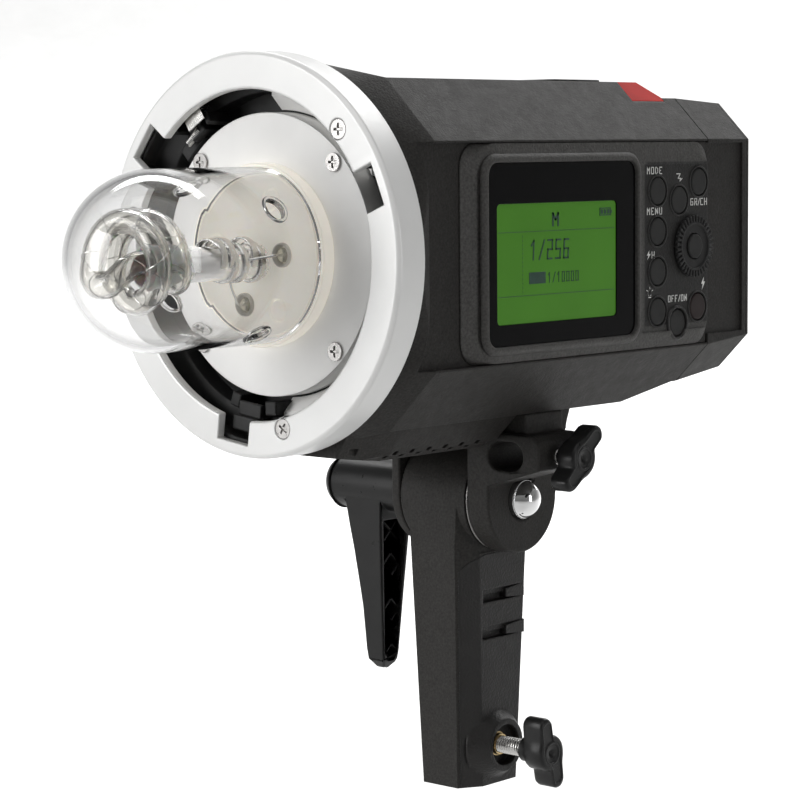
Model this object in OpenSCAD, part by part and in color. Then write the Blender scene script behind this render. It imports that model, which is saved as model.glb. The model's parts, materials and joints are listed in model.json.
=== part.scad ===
// Battery monolight strobe head on a tilting stand bracket.
// Origin: centre of the stand socket's mouth. +Y runs back along the beam, +X is the control side.

/* [Head] */
// Height of the beam axis above the socket mouth
beam_z = 182; // [180:1:190]
// Half width of the octagonal body
body_w = 57.2; // [56.5:0.1:58]
// Wall of the body shells
wall = 2.4; // [2:0.1:2.8]

/* [Accessory ring] */
// Outer radius of the white ring
ring_r = 62.5; // [62:0.1:63]
// Radius of the ring's opening
open_r = 50.9; // [50.5:0.1:51.2]
// Front face of the ring
ring_y = -104; // [-106:1:-104]
// Radius of the round reflector plate
plate_r = 43.9; // [43:0.1:45]

/* [Lamp] */
// Outer radius of the glass dome
dome_r = 27.3; // [26:0.1:27.6]
// Length of the dome in front of the ring
dome_len = 65.9; // [60:1:70]
// Radius of the coiled tube's centre line
coil_r = 12; // [10:0.5:13]
// Radius of the coiled tube itself
tube_r = 3.7; // [3:0.1:4]

/* [Controls] */
// Radius of each push button
button_r = 4.5; // [3.8:0.1:4.5]
// Travel of each push button
button_travel = 0.8; // [0.5:0.1:1]
// Radius of the control dial
dial_r = 10.3; // [9.8:0.1:10.5]

/* [Bracket] */
// Height of the tilt axis above the socket mouth
tilt_z = 98; // [98:1:99]
// Radius of the bore for a light stand's stud
stud_r = 8.1; // [8:0.05:8.2]
// Depth of the stud bore
stud_depth = 42; // [36:1:44]
// Radius of the umbrella shaft slot
umbrella_r = 4.75; // [4.5:0.05:4.9]
// Radius of the tilt bolt
bolt_r = 4; // [3.9:0.05:4]

/* [Hidden] */
$fn = 64;
eps = 0.02;
gap = 0.3;
run_fit = 0.06;

// Octagonal section: |x| + |z| on the chamfer planes, top and bottom heights from the beam axis
cham = 91.8;
top_h = 53.8;
bot_h = 53.5;
seam_y = 58.5;
pack_y = 58.9;
rear_y = 85;
oct_y = -82;
neck_y = ring_y + 11.6;
skirt_r = ring_r - 2.4;
floor_y = ring_y + 17.5;
plate_y = ring_y + 9;
dome_foot = 4.15;
cup_y = ring_y + 20;

// Side recess, display bezel and button field, heights from the beam axis
recess_x = 54.2;
panel_h = 34;
panel_x = 58.4;
field_x = 57.6;
bezel_y0 = -67.5;
bezel_y1 = 58;
glass_y0 = -58.9;
glass_y1 = 16.6;
glass_h0 = -28.6;
glass_h1 = 27.8;
field_y0 = 20;
lcd_y0 = -54;
lcd_y1 = 6.6;
lcd_h0 = -22;
lcd_h1 = 15.2;

// Button places, [y, height from the beam axis]
col_y = 29.5;
col_step = 13.25;
mode_h = 17.7;
z_sync = [41.5, 14.5];
group = [52.7, 20.4];
power = [40.4, -26.2];
test = [52.2, -21.4];
dial_at = [49, -1];
board_x = 49;
dial_x = 57.75;
dial_hub_r = 6.4;

// Bracket
belly_z = 117.6;
yoke_z = 128.45;
cheek_in = 14.8;
cheek_x = 24;
cheek_r = 18;
knuckle_x = 13.9;
knuckle_r = 18.3;
block_x = 45.4;
block_y1 = 4;
slot_x = 28.8;
slot_x2 = 33.65;
slot_z = 114.4;
umb_y = -7;
screw_r = 2.5;
pad_r = screw_r - 0.05;
clamp_z = 13.6;
lever_x0 = -19;
split_x = 10;
grip_slots = [65, 52.4];

// Lock tab's place round the ring, liner sectors and the dome's cooling holes
lock_a = 262.5;
liner_arcs = [[-86, 12], [33, 90]];
vent_r = 3.6;

// Flash tube coil
coil_y = ring_y - 42;
coil_turns = 1.5;
coil_pitch = 7.8;
coil_steps = 30;
tube_sides = 10;

// Screws that join the body halves, as [depth, height from the beam axis]
case_screw_at = [[-77, 30], [-77, -30], [53, 30], [53, -30]];

// Fan, battery lid seam and the clamp knobs
fan_y = -50;
fan_h = 31;
lid_y = 81.6;
grip_y = 79.4;
knob_x = block_x + 1.5;
stand_knob_x = 24.6;

// ---- placing helpers ----

// A 2D outline in (x, z), extruded from y0 back to y1
module along_y(y0, y1) {
  translate([0, y1, 0]) rotate([90, 0, 0]) linear_extrude(y1 - y0) children();
}

// A 2D outline in (y, z), extruded from x0 to x1
module along_x(x0, x1) {
  translate([x0, 0, 0]) rotate([90, 0, 90]) linear_extrude(x1 - x0) children();
}

// Turned shapes on the beam axis: local +Z runs forward from y
module on_beam(y) {
  translate([0, y, beam_z]) rotate([90, 0, 0]) children();
}

// A disc on the beam axis from y0 back to y1
module disc(y0, y1, r) {
  on_beam(y1) cylinder(h = y1 - y0, r = r);
}

// A round bar along X, at height z and depth y
module bar(x0, x1, y, z, r) {
  translate([x0, y, z]) rotate([0, 90, 0]) cylinder(h = x1 - x0, r = r);
}

// A box between two corners
module block(a, b) {
  translate(a) cube(b - a);
}

// ---- shared outlines ----

// Octagon about the beam axis: half width w, chamfer sums ct and cb, top t, bottom b
module oct(w, ct, cb, t, b) {
  translate([0, beam_z]) polygon([
    [ct - t, t], [w, ct - w], [w, w - cb], [cb - b, -b],
    [b - cb, -b], [-w, w - cb], [-w, ct - w], [t - ct, t]
  ]);
}

// The body's octagon, set in by s
module body_oct(s) {
  oct(body_w - s, cham - s * sqrt(2), cham - s * sqrt(2), top_h - s, bot_h - s);
}

// Rounded rectangle with a corner at p and the size q
module round_rect(p, q, r) {
  hull() for (a = [r, q[0] - r], b = [r, q[1] - r]) translate([p[0] + a, p[1] + b])
    circle(r, $fn = 24);
}

// The body's side profile in (y, z), set in by s: it steps down towards the battery
module body_profile(s) {
  translate([0, beam_z]) polygon([
    [oct_y - 4, top_h + 1 - s], [oct_y - 4, -bot_h - 1 + s], [35, -bot_h - 1 + s], [35, -bot_h + s],
    [56, s - 47.8], [60, s - 47.8], [60, 48.5 - s], [51.5, 48.5 - s], [44, top_h - s],
    [44, top_h + 1 - s]
  ]);
}

// Round neck that meets the octagon behind the ring, set in by s
module neck(s) {
  hull() {
    disc(neck_y + 0.1, neck_y + 0.5, skirt_r + 1 - s);
    along_y(oct_y, oct_y + 0.1) body_oct(s);
  }
}

// The belly under the front of the body, set in by s
module belly(s) {
  hull() {
    along_y(neck_y + 1.5 + s, neck_y + 2 + s) polygon([
      [-30 + s, 129], [30 - s, 129], [24 - s, 120 + s], [-24 + s, 120 + s]
    ]);
    along_y(-72, -71) polygon([
      [-36.5 + s, 130.5], [36.5 - s, 130.5], [28 - s, belly_z + s], [-28 + s, belly_z + s]
    ]);
    along_y(-22.5 - s, -22 - s) polygon([
      [-30 + s, 122], [30 - s, 122], [28 - s, belly_z + s], [-28 + s, belly_z + s]
    ]);
    along_y(-16.6 - s, -16.5 - s) polygon([
      [-36 + s, 131], [36 - s, 131], [35 - s, 128], [-35 + s, 128]
    ]);
  }
}

// Outer solid of the body, set in by s
module body_solid(s) {
  neck(s);
  belly(s);
  intersection() {
    along_y(oct_y, seam_y) body_oct(s);
    along_x(-80, 80) body_profile(s);
  }
}

// Six slanted vents in one side of the belly
module belly_vents() {
  for (k = [0:5]) translate([0, -70.3 + k * 7.9, 0]) along_x(22, 60) polygon([
    [-1.7, 118.5], [0.1, 118.5], [1.7, 120.8], [-0.1, 120.8]
  ]);
}

// Both shell halves before they are split at the middle plane
module body_shell() {
  difference() {
    body_solid(0);
    intersection() {
      body_solid(wall);
      union() {
        block([wall - recess_x, -100, 100], [recess_x - wall, seam_y - 3, 260]);
        block([-80, -100, 100], [80, -89.4, 260]);
      }
    }
    // front mouth for the bayonet housing, and the rear mouth for the rear panel
    disc(neck_y - 1, neck_y + 0.6, skirt_r + 1 - wall);
    along_y(seam_y - 4, seam_y + 2) oct(body_w - 5, cham - 9, cham - 9, 43, 42);
    // side recesses for the control panel and the left panel
    for (m = [0, 1]) mirror([m, 0, 0]) {
      block([recess_x, -87, beam_z - panel_h], [recess_x + 10, seam_y + 5, beam_z + panel_h]);
      belly_vents();
      // small drain notch near the ring
      block([26, -87.6, 118.6], [60, -84.4, 122.8]);
    }
    // window in the right wall for the display and the controls
    block([40, glass_y0 + 3, beam_z + glass_h0 + 3], [60, glass_y1 - 3, beam_z + glass_h1 - 3]);
    block([40, field_y0 + 3, beam_z - 29], [60, 56, beam_z + 27]);
    // window in the left wall for the sockets
    block([-60, 8, beam_z - 12], [-40, 30, beam_z + 12]);
    // sensor window across the top
    window_frame(0.15);
    // channel that lets the umbrella shaft pass under the belly
    translate([slot_x, -10, slot_z]) rotate([90, 0, 0]) cylinder(h = 90, r = umbrella_r + 0.4);
  }
}

// Bosses and screw tunnels that join the two halves

// ---- front end ----

module mount_ring() {
  color("whitesmoke") difference() {
    on_beam(neck_y) rotate_extrude($fn = 128) polygon([
      [skirt_r - 0.2, 0], [ring_r, 0], [ring_r, 10.5], [ring_r - 1.1, 11.6],
      [open_r + 0.5, 11.6], [open_r, 11.1], [open_r, 8.4], [skirt_r - 0.2, 8.4]
    ]);
    // three bayonet notches, 120 degrees apart
    for (a = [22.5, 142.5, lock_a]) on_beam(ring_y + 4) rotate([0, 0, a])
      translate([open_r - 4, -6.6, 0]) cube([11.4, 13.2, 6]);
    // countersinks for the ring screws
    for (a = [45, 165, 285]) on_beam(ring_y + 6) rotate([0, 0, a]) translate([54.2, 0, 0]) {
      cylinder(h = 8, r = 1.7);
      translate([0, 0, 4.4]) cylinder(h = 3, r = 3.15);
    }
  }
}

// One cross-recessed screw along the beam, head face at local z = 0
module cross_screw(head_r, head_h, shaft_r, shaft_l) {
  difference() {
    union() {
      translate([0, 0, -head_h]) cylinder(h = head_h, r = head_r);
      translate([0, 0, -head_h - shaft_l]) cylinder(h = shaft_l + eps, r = shaft_r);
    }
    for (a = [45, 135]) rotate([0, 0, a]) translate([-head_r * 0.6, -0.35, -0.8])
      cube([head_r * 1.2, 0.7, 2]);
  }
}

module front_screws() {
  color("gainsboro") {
    for (a = [45, 165, 285]) on_beam(ring_y + 0.3) rotate([0, 0, a]) translate([54.2, 0, 0])
      cross_screw(3, 1.2, 1.4, 4.6);
    for (a = [45, 135, 225, 315]) on_beam(plate_y - 0.9) rotate([0, 0, a]) translate([40.4, 0, 0])
      cross_screw(2.9, 0.8, 1.4, 9);
  }
}

// Black cup behind the ring: a wide groove for the lugs, then a narrower well
module bayonet_housing() {
  color([0.07, 0.07, 0.07]) difference() {
    union() {
      on_beam(cup_y) rotate_extrude($fn = 96) polygon([
        [26, 0], [51.8, 0], [51.8, 7.4], [58.7, 9.4], [58.7, 16.6], [57.2, 16.6], [57.2, 11],
        [50.2, 9], [50.2, 2.5], [26, 2.5]
      ]);
      // bosses that take the ring screws, and lug guides beside two notches
      for (a = [45, 165, 285]) on_beam(cup_y) rotate([0, 0, a]) translate([54.2, 0, 9.2])
        cylinder(h = 7.3, r = 2.9);
      for (a = [22.5, 142.5], s = [-1, 1]) on_beam(cup_y) rotate([0, 0, a + s * 9.5])
        translate([51.5, -1, 9.2]) cube([5.9, 2, 6.8]);
    }
    // slot for the lock tab at the bottom, and the screw holes
    on_beam(cup_y + 3) rotate([0, 0, lock_a]) translate([49.8, -5.2, 0]) cube([6, 10.4, 16]);
    for (a = [45, 135, 225, 315]) on_beam(cup_y + 1) rotate([0, 0, a]) translate([40.4, 0, 0])
      cylinder(h = 8, r = 1.45);
    for (a = [45, 165, 285]) on_beam(cup_y - 9) rotate([0, 0, a]) translate([54.2, 0, 0])
      cylinder(h = 9, r = 1.45);
  }
}

// Sprung tab that locks an accessory's lug at the bottom notch; it slides back along +Y
module lock_tab() {
  color([0.09, 0.09, 0.1]) on_beam(cup_y - 5.6) rotate([0, 0, lock_a]) {
    translate([50.6, -4.8, 0]) cube([4.6, 9.6, 10]);
    translate([46.4, -4.8, 6]) cube([4.3, 9.6, 1.8]);
  }
}

// Bent steel spring above the upper left notch
module spring_clip() {
  color("silver") on_beam(ring_y + 8.8) rotate([0, 0, 122]) {
    translate([51.6, -4, 0]) cube([0.7, 8, 5]);
    translate([47.6, -4, 4.3]) cube([4.1, 8, 0.7]);
  }
}

// White sectors that catch the light outside the plate, on the control side
module reflector_liner() {
  color("white") for (arc = liner_arcs) on_beam(floor_y - 0.1) rotate([0, 0, arc[0]])
    rotate_extrude(angle = arc[1] - arc[0], $fn = 96) polygon([
      [44.6, 0], [50, 0], [50, 5.6], [49, 5.6], [44.6, 1.2]
    ]);
}

module reflector_plate() {
  color("white") difference() {
    on_beam(floor_y - 0.05) rotate_extrude($fn = 96) polygon([
      [plate_r - 1.6, 0], [plate_r, 0], [plate_r, 8.2], [plate_r - 0.3, 8.45],
      [19.5, 8.45], [19.5, 6.6], [plate_r - 1.6, 6.6]
    ]);
    for (a = [45, 135, 225, 315]) on_beam(plate_y - 1) rotate([0, 0, a]) translate([40.4, 0, -3])
      cylinder(h = 8, r = 1.6);
  }
  // pillars round the plate screws
  color("white") for (a = [45, 135, 225, 315]) on_beam(floor_y - 0.05) rotate([0, 0, a])
    translate([39.4, 0, 0]) difference() {
      cylinder(h = 6.6, r = 2.9);
      translate([1, 0, -1]) cylinder(h = 9, r = 1.6);
    }
}

// ---- lamp ----

// Ceramic socket behind the plate, with the terminal cups
module tube_socket() {
  color("ivory") difference() {
    union() {
      disc(plate_y + 2.1, floor_y + 12, 19);
      disc(cup_y + 0.1, cup_y + 3.5, 25);
    }
    for (a = [0, 120, 240]) on_beam(plate_y + 14) rotate([0, 0, a]) translate([12, 0, 0])
      cylinder(h = 20, r = 2.2);
  }
}

// Frosted collar and the disc that closes the foot of the dome
module base_collar() {
  color([0.93, 0.9, 0.82]) difference() {
    on_beam(plate_y - 0.1) rotate_extrude($fn = 96) polygon([
      [0, 0], [dome_r + 1.1, 0], [dome_r + 1.1, 4.2], [dome_r + 0.6, 4.7],
      [dome_r - 2.2, 4.7], [dome_r - 2.2, 5], [0, 5]
    ]);
    // shallow marks and terminal cups on the disc
    for (p = [[6, 17], [8.3, -16.5], [-17, 3]]) on_beam(plate_y - 4.6) translate([p[0], p[1], 0])
      difference() {
        cylinder(h = 2, r = 3.6);
        translate([0, 0, -1]) cylinder(h = 4, r = 3);
      }
    for (p = [[-5.5, -15.4], [10.7, 0.4]]) on_beam(plate_y - 2.6) translate([p[0], p[1], 0])
      cylinder(h = 6, r = 3.2);
  }
}

// Half outline of the dome: a straight tube with a round end, from its foot forward
module dome_profile(r) {
  straight = dome_len + dome_foot - dome_r;
  square([r, straight]);
  translate([0, straight]) intersection() {
    circle(r, $fn = 96);
    square(r + 1);
  }
}

module glass_dome() {
  color([0.9, 0.95, 1, 0.4]) difference() {
    on_beam(ring_y + dome_foot) rotate_extrude($fn = 96) difference() {
      dome_profile(dome_r);
      translate([0, -eps]) dome_profile(dome_r - 1.7);
    }
    // four cooling holes near the foot
    for (a = [57, 147, 237, 327]) translate([0, ring_y - 11, beam_z]) rotate([0, a, 0])
      translate([0, 0, 20]) cylinder(h = 12, r = vent_r);
  }
}

// Centre line of the flash tube: up the stem, round the coil, and back down the middle
function coil_pt(k) = let(a = 360 * k / coil_steps)
  [coil_r * cos(a), coil_y - coil_pitch * k / coil_steps, beam_z + coil_r * sin(a)];
coil_end = coil_y - coil_pitch * coil_turns;
tube_path = [
  [4.2, ring_y - 30, beam_z - 3], [4.6, ring_y - 33, beam_z - 4], [7.4, ring_y - 38, beam_z - 6],
  [10.8, coil_y + 1, beam_z - 4.6],
  for (k = [0:coil_steps * coil_turns]) coil_pt(k),
  [-11, coil_end - 2.4, beam_z - 4.4], [-7.4, coil_end - 3.4, beam_z - 7],
  [-3, coil_end - 2, beam_z - 6], [-1, coil_end + 1.6, beam_z - 3], [0, coil_end + 6, beam_z - 0.6],
  [0, coil_y, beam_z], [0, ring_y - 33.5, beam_z + 2]
];

// A round tube swept along points, with closed ends
function unit(v) = v / norm(v);
function tangent(p, i) = unit(p[min(i + 1, len(p) - 1)] - p[max(i - 1, 0)]);
function side_of(t) = unit(cross(t, abs(t[1]) > 0.9 ? [1, 0, 0] : [0, 1, 0]));
function frames(p, i = 0, last = undef) = i >= len(p) ? [] :
  let(t = tangent(p, i), s = is_undef(last) ? side_of(t) : unit(last - t * (last * t)))
  concat([[s, cross(t, s)]], frames(p, i + 1, s));
module sweep(p, r, n) {
  fr = frames(p);
  pts = [for (i = [0:len(p) - 1], k = [0:n - 1])
    p[i] + r * (cos(360 * k / n) * fr[i][0] + sin(360 * k / n) * fr[i][1])];
  sides = [for (i = [0:len(p) - 2], k = [0:n - 1])
    [i * n + k, (i + 1) * n + k, (i + 1) * n + (k + 1) % n, i * n + (k + 1) % n]];
  ends = [[for (k = [0:n - 1]) k], [for (k = [n - 1:-1:0]) (len(p) - 1) * n + k]];
  polyhedron(pts, concat(sides, ends), convexity = 8);
}

module flash_tube() {
  color([0.95, 0.93, 0.88, 0.6]) sweep(tube_path, tube_r, tube_sides);
}

// Glass stem with its frosted sleeve
module tube_stem() {
  color([0.96, 0.95, 0.92]) {
    disc(ring_y - 17.5, ring_y + 3.85, 5.4);
    disc(ring_y - 29.2, ring_y - 17.5, 6.4);
  }
}

module electrode_bands() {
  color("silver") for (y = [ring_y - 14.6, ring_y - 11, ring_y - 1.6]) on_beam(y)
    difference() {
      cylinder(h = 2.6, r = 6.1);
      translate([0, 0, -1]) cylinder(h = 5, r = 5.45);
    }
}

// Two small lamps in the terminal cups
module modelling_led() {
  color([1, 0.98, 0.85]) for (p = [[-5.5, -15.4], [10.7, 0.4]]) on_beam(plate_y - 2.65)
    translate([p[0], p[1], 0]) {
      cylinder(h = 1.8, r = 2.8);
      translate([0, 0, 1.75]) intersection() {
        sphere(2.2);
        cylinder(h = 3, r = 3);
      }
    }
}

// ---- body ----

module body_right() {
  color([0.19, 0.18, 0.17]) intersection() {
    body_shell();
    block([0.05, -100, 80], [90, 90, 260]);
  }
  color([0.19, 0.18, 0.17]) for (p = case_screw_at) difference() {
    bar(0.05, recess_x - wall + 0.6, p[0], beam_z + p[1], 4.4);
    bar(-1, 14, p[0], beam_z + p[1], 1.25);
  }
}

module body_left() {
  color([0.19, 0.18, 0.17]) difference() {
    union() {
      intersection() {
        body_shell();
        block([-90, -100, 80], [-0.05, 90, 260]);
      }
      for (p = case_screw_at) bar(-recess_x + wall - 0.6, -0.05, p[0], beam_z + p[1], 4.4);
    }
    for (p = case_screw_at) {
      bar(-20, 1, p[0], beam_z + p[1], 1.7);
      bar(-60, -12, p[0], beam_z + p[1], 3.4);
    }
  }
}

module case_screws() {
  color("dimgray") for (p = case_screw_at) translate([-14, p[0], beam_z + p[1]])
    rotate([0, -90, 0]) translate([0, 0, 2.1]) cross_screw(3, 2, 1.2, 22);
}

// Outline of the side panels in (y, z), set in by s and by e at the front edge
module panel_outline(y1, s, e) {
  round_rect([bezel_y0 + e, beam_z - panel_h + s], [y1 - bezel_y0 - e, 2 * (panel_h - s)], 7);
}

// Raised side panel with a wide front bevel
module panel_plate(y1, x1) {
  hull() {
    along_x(recess_x + 0.1, recess_x + 0.4) panel_outline(y1, 0.2, 0);
    along_x(body_w - 0.4, body_w - 0.1) panel_outline(y1, 0.2, 6.5);
    along_x(x1 - 0.3, x1) panel_outline(y1, 4.4, 10.5);
  }
}

module display_bezel() {
  color([0.22, 0.21, 0.2]) difference() {
    panel_plate(bezel_y1, panel_x);
    // seat of the glass, and the opening behind it
    along_x(panel_x - 1.8, panel_x + 1) round_rect([glass_y0 - 0.15, beam_z + glass_h0 - 0.15],
      [glass_y1 - glass_y0 + 0.3, glass_h1 - glass_h0 + 0.3], 4);
    block([50, lcd_y0 - 1, beam_z + lcd_h0 - 1], [60, lcd_y1 + 1, beam_z + lcd_h1 + 1]);
    // lower button field behind the rim
    block([field_x, field_y0, beam_z - 28.6], [60, 60, beam_z + 26.6]);
    // holes for the controls
    for (p = button_places()) bar(50, 60, p[0], beam_z + p[1], button_r + gap);
    bar(50, 60, dial_at[0], beam_z + dial_at[1], dial_hub_r + gap);
  }
}

module left_panel() {
  color([0.22, 0.21, 0.2]) mirror([1, 0, 0]) difference() {
    panel_plate(47, panel_x);
    // sync socket, control port and a finger scallop
    bar(50, 60, 19, beam_z + 6, 1.77);
    bar(57.4, 60, 19, beam_z + 6, 3.2);
    block([50, 15, beam_z - 8.5], [60, 23, beam_z - 4.5]);
    for (k = [0:6]) block([57.4, -52 + k * 7.5, beam_z - 22], [60, -49 + k * 7.5, beam_z + 20]);
  }
}

module display_glass() {
  color([0.02, 0.02, 0.02]) difference() {
    along_x(panel_x - 1.7, panel_x - 0.3) round_rect([glass_y0, beam_z + glass_h0],
      [glass_y1 - glass_y0, glass_h1 - glass_h0], 4);
    along_x(panel_x - 2, panel_x) round_rect([lcd_y0, beam_z + lcd_h0],
      [lcd_y1 - lcd_y0, lcd_h1 - lcd_h0], 1.5);
  }
}

module lcd_panel() {
  color([0.35, 0.6, 0.15]) {
    block([panel_x - 2.6, lcd_y0 - 0.9, beam_z + lcd_h0 - 0.9],
      [panel_x - 1.9, lcd_y1 + 0.9, beam_z + lcd_h1 + 0.9]);
    along_x(panel_x - 1.91, panel_x - 0.7) round_rect([lcd_y0 + 0.1, beam_z + lcd_h0 + 0.1],
      [lcd_y1 - lcd_y0 - 0.2, lcd_h1 - lcd_h0 - 0.2], 1.4);
  }
}

// Display and control board with one dome switch behind each button
module display_board() {
  color("darkgreen") {
    block([board_x - 1.6, lcd_y0, beam_z - 25.2], [board_x, 56, beam_z + 25.2]);
    block([board_x - 1.6, 30, beam_z - 30], [board_x, 47, beam_z - 25]);
  }
  color("silver") for (p = button_places())
    bar(board_x - 0.01, board_x + 1.6, p[0], beam_z + p[1], 3);
  color("silver") bar(board_x - 0.01, board_x + 1.6, dial_at[0], beam_z + dial_at[1], 5);
}

function button_places() = [
  for (k = [0:3]) [col_y, mode_h - k * col_step], z_sync, group, power, test
];

// One round button: cap, flange behind the panel, and a stem over its switch
module button(p, shade) {
  color(shade) {
    bar(55.2, field_x + 0.3, p[0], beam_z + p[1], button_r);
    bar(board_x + 1.6 + button_travel + 0.3, 55.21, p[0], beam_z + p[1], 1.4);
  }
}

module mode_button() { button([col_y, mode_h], [0.1, 0.1, 0.1]); }
module menu_button() { button([col_y, mode_h - col_step], [0.1, 0.1, 0.1]); }
module hss_button() { button([col_y, mode_h - 2 * col_step], [0.1, 0.1, 0.1]); }
module lamp_button() { button([col_y, mode_h - 3 * col_step], [0.1, 0.1, 0.1]); }
module sync_button() { button(z_sync, [0.1, 0.1, 0.1]); }
module group_button() { button(group, [0.1, 0.1, 0.1]); }
module power_button() { button(power, [0.1, 0.1, 0.1]); }
module test_button() { button(test, [0.2, 0.05, 0.05]); }

// Serrated dial ring over the panel; the centre button slides inside its hub
module dial() {
  color([0.12, 0.12, 0.12]) translate([dial_x, dial_at[0], beam_z + dial_at[1]])
    rotate([0, 90, 0]) difference() {
      union() {
        cylinder(h = 1.4, r = dial_r);
        translate([0, 0, -5]) cylinder(h = 5.1, r = dial_hub_r);
      }
      translate([0, 0, -6]) cylinder(h = 12, r = 4.4);
      translate([0, 0, 0.9]) cylinder(h = 2, r = 7.4);
      for (k = [0:35]) rotate([0, 0, k * 10]) translate([dial_r - 2.2, -0.35, 0.7])
        cube([3, 0.7, 2]);
    }
}

module dial_button() {
  color([0.12, 0.12, 0.12]) {
    bar(54.6, dial_x + 1.5, dial_at[0], beam_z + dial_at[1], 4.1);
    bar(board_x + 2.8, 54.61, dial_at[0], beam_z + dial_at[1], 1.4);
  }
}

// Outline of the red receiver window: over the top, the rear slope and both chamfers
module window_frame(g) {
  intersection() {
    block([-60, 33.6 - g, 220], [60, 51.2 + g, 245]);
    along_y(20, 60) translate([0, beam_z]) polygon([
      [-44.3 - g, 44], [44.3 + g, 44], [44.3 + g, 47.4], [40, 58], [-40, 58], [-44.3 - g, 47.4]
    ]);
  }
}

module sensor_window() {
  color([0.85, 0.12, 0.08]) intersection() {
    difference() {
      body_solid(0);
      body_solid(2.2);
    }
    window_frame(0);
  }
}

// Thin raised plate on the top of the body
module top_plate() {
  color([0.1, 0.1, 0.1]) translate([0, 0, beam_z + top_h + eps]) linear_extrude(0.7)
    round_rect([-34, 4.6], [68, 26.4], 3);
}

// ---- inside the body ----

module main_board() {
  color("darkgreen") block([-48.6, -62, beam_z - 30], [-47, 46, beam_z + 32]);
  color("dimgray") for (y = [-50, -26, -2]) block([-47.01, y, beam_z - 22], [-38, y + 16, beam_z + 4]);
  color("black") block([-47.01, -54, beam_z + 12], [-34, -22, beam_z + 28]);
}

module capacitor_bank() {
  color([0.1, 0.15, 0.35]) for (x = [-17.5, 17.5], h = [-30, 5])
    on_beam(40) translate([x, h, 0]) cylinder(h = 70, r = 16.5);
}

module trigger_coil() {
  color("saddlebrown") on_beam(-52) translate([0, -28, 0]) {
    cylinder(h = 16, r = 8);
    translate([0, 0, -1.5]) cylinder(h = 1.51, r = 10);
    translate([0, 0, 15.99]) cylinder(h = 1.5, r = 10);
  }
}

module fan_frame() {
  color([0.06, 0.06, 0.06]) difference() {
    union() {
      difference() {
        along_y(fan_y, fan_y + 15) translate([-20, beam_z + fan_h - 18]) square([40, 36]);
        on_beam(fan_y + 20) translate([0, fan_h, 0]) cylinder(h = 30, r = 17);
      }
      // motor mount and its three spokes
      on_beam(fan_y + 15) translate([0, fan_h, 0]) {
        cylinder(h = 2, r = 7);
        for (a = [90, 210, 330]) rotate([0, 0, a]) translate([6, -1, 0]) cube([12, 2, 2]);
      }
    }
    on_beam(fan_y + 20) translate([0, fan_h, 0]) cylinder(h = 30, r = 1.2);
  }
}

module fan_rotor() {
  color([0.15, 0.15, 0.16]) on_beam(fan_y + 12.6) translate([0, fan_h, 0]) {
    cylinder(h = 11, r = 7);
    for (k = [0:6]) rotate([0, 0, k * 360 / 7]) rotate([35, 0, 0])
      translate([5.5, -0.5, 0]) translate([0, 3.4, 2]) cube([10, 1, 7]);
    translate([0, 0, -3.6]) cylinder(h = 3.7, r = 1.1);
  }
}

// Rear wall of the body with the contact block and the rail that holds the battery
module rear_panel() {
  color([0.14, 0.14, 0.14]) difference() {
    union() {
      along_y(seam_y - 3.8, seam_y - 0.2) oct(body_w - 5.3, cham - 9.3, cham - 9.3, 42.7, 41.7);
      block([-9, seam_y - 0.21, beam_z - 30], [9, seam_y + 3.6, beam_z + 12]);
      block([-14, seam_y + 3.59, beam_z - 30], [14, seam_y + 6.6, beam_z + 12]);
    }
    for (p = case_screw_at) bar(-60, 60, p[0], beam_z + p[1], 4.8);
    // relief round the display board
    block([46, 50, beam_z - 31], [60, 56.4, beam_z + 31]);
  }
}

// ---- battery ----

module pack_solid(s) {
  hull() {
    along_y(pack_y + s, pack_y + s + 0.1)
      oct(body_w - s, cham - s * 1.42, cham - s * 1.42, 48.5 - s, 47.7 - s);
    along_y(rear_y - 1.9 - s, rear_y - 1.8 - s)
      oct(body_w - 0.2 - s, cham - 0.3 - s * 1.42, cham - 2.4 - s * 1.42, 46.9 - s, 44.4 - s);
    along_y(rear_y - 0.1 - s, rear_y - s)
      oct(body_w - 1.9 - s, cham - 2.9 - s * 1.42, cham - 5 - s * 1.42, 45 - s, 42.4 - s);
  }
}

module battery_case() {
  color([0.17, 0.16, 0.15]) difference() {
    intersection() {
      pack_solid(0);
      block([-80, 50, 100], [80, lid_y, 260]);
    }
    // room for the cells, behind the rail's channel
    block([-51, pack_y + 10, beam_z - 38], [51, lid_y + 2, beam_z + 40]);
    // channel for the rail, open at the bottom
    block([-9.4, pack_y - 1, beam_z - 60], [9.4, pack_y + 3.9, beam_z + 12.4]);
    block([-14.4, pack_y + 2.8, beam_z - 60], [14.4, pack_y + 6.7, beam_z + 12.4]);
    // grip recess on each side
    for (m = [0, 1]) mirror([m, 0, 0])
      block([body_w - 1.2, pack_y - 1, beam_z - 31], [body_w + 5, grip_y, beam_z + 33.4]);
    // slot for the latch button
    block([-9.3, pack_y + 11, beam_z + 36], [9.3, pack_y + 17.3, beam_z + 60]);
  }
}

module battery_cover() {
  color([0.17, 0.16, 0.15]) difference() {
    intersection() {
      pack_solid(0);
      block([-80, lid_y + 0.1, 100], [80, rear_y + 5, 260]);
    }
    // finger ribs across the rear face
    for (k = [-3:3]) block([-26, rear_y - 0.8, beam_z + k * 7 - 1.2],
      [26, rear_y + 1, beam_z + k * 7 + 1.2]);
  }
}

module battery_cells() {
  color([0.2, 0.35, 0.6]) for (k = [-1:1])
    block([k * 33.5 - 16, pack_y + 10.4, beam_z - 36], [k * 33.5 + 16, lid_y - 0.4, beam_z + 32]);
}

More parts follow.
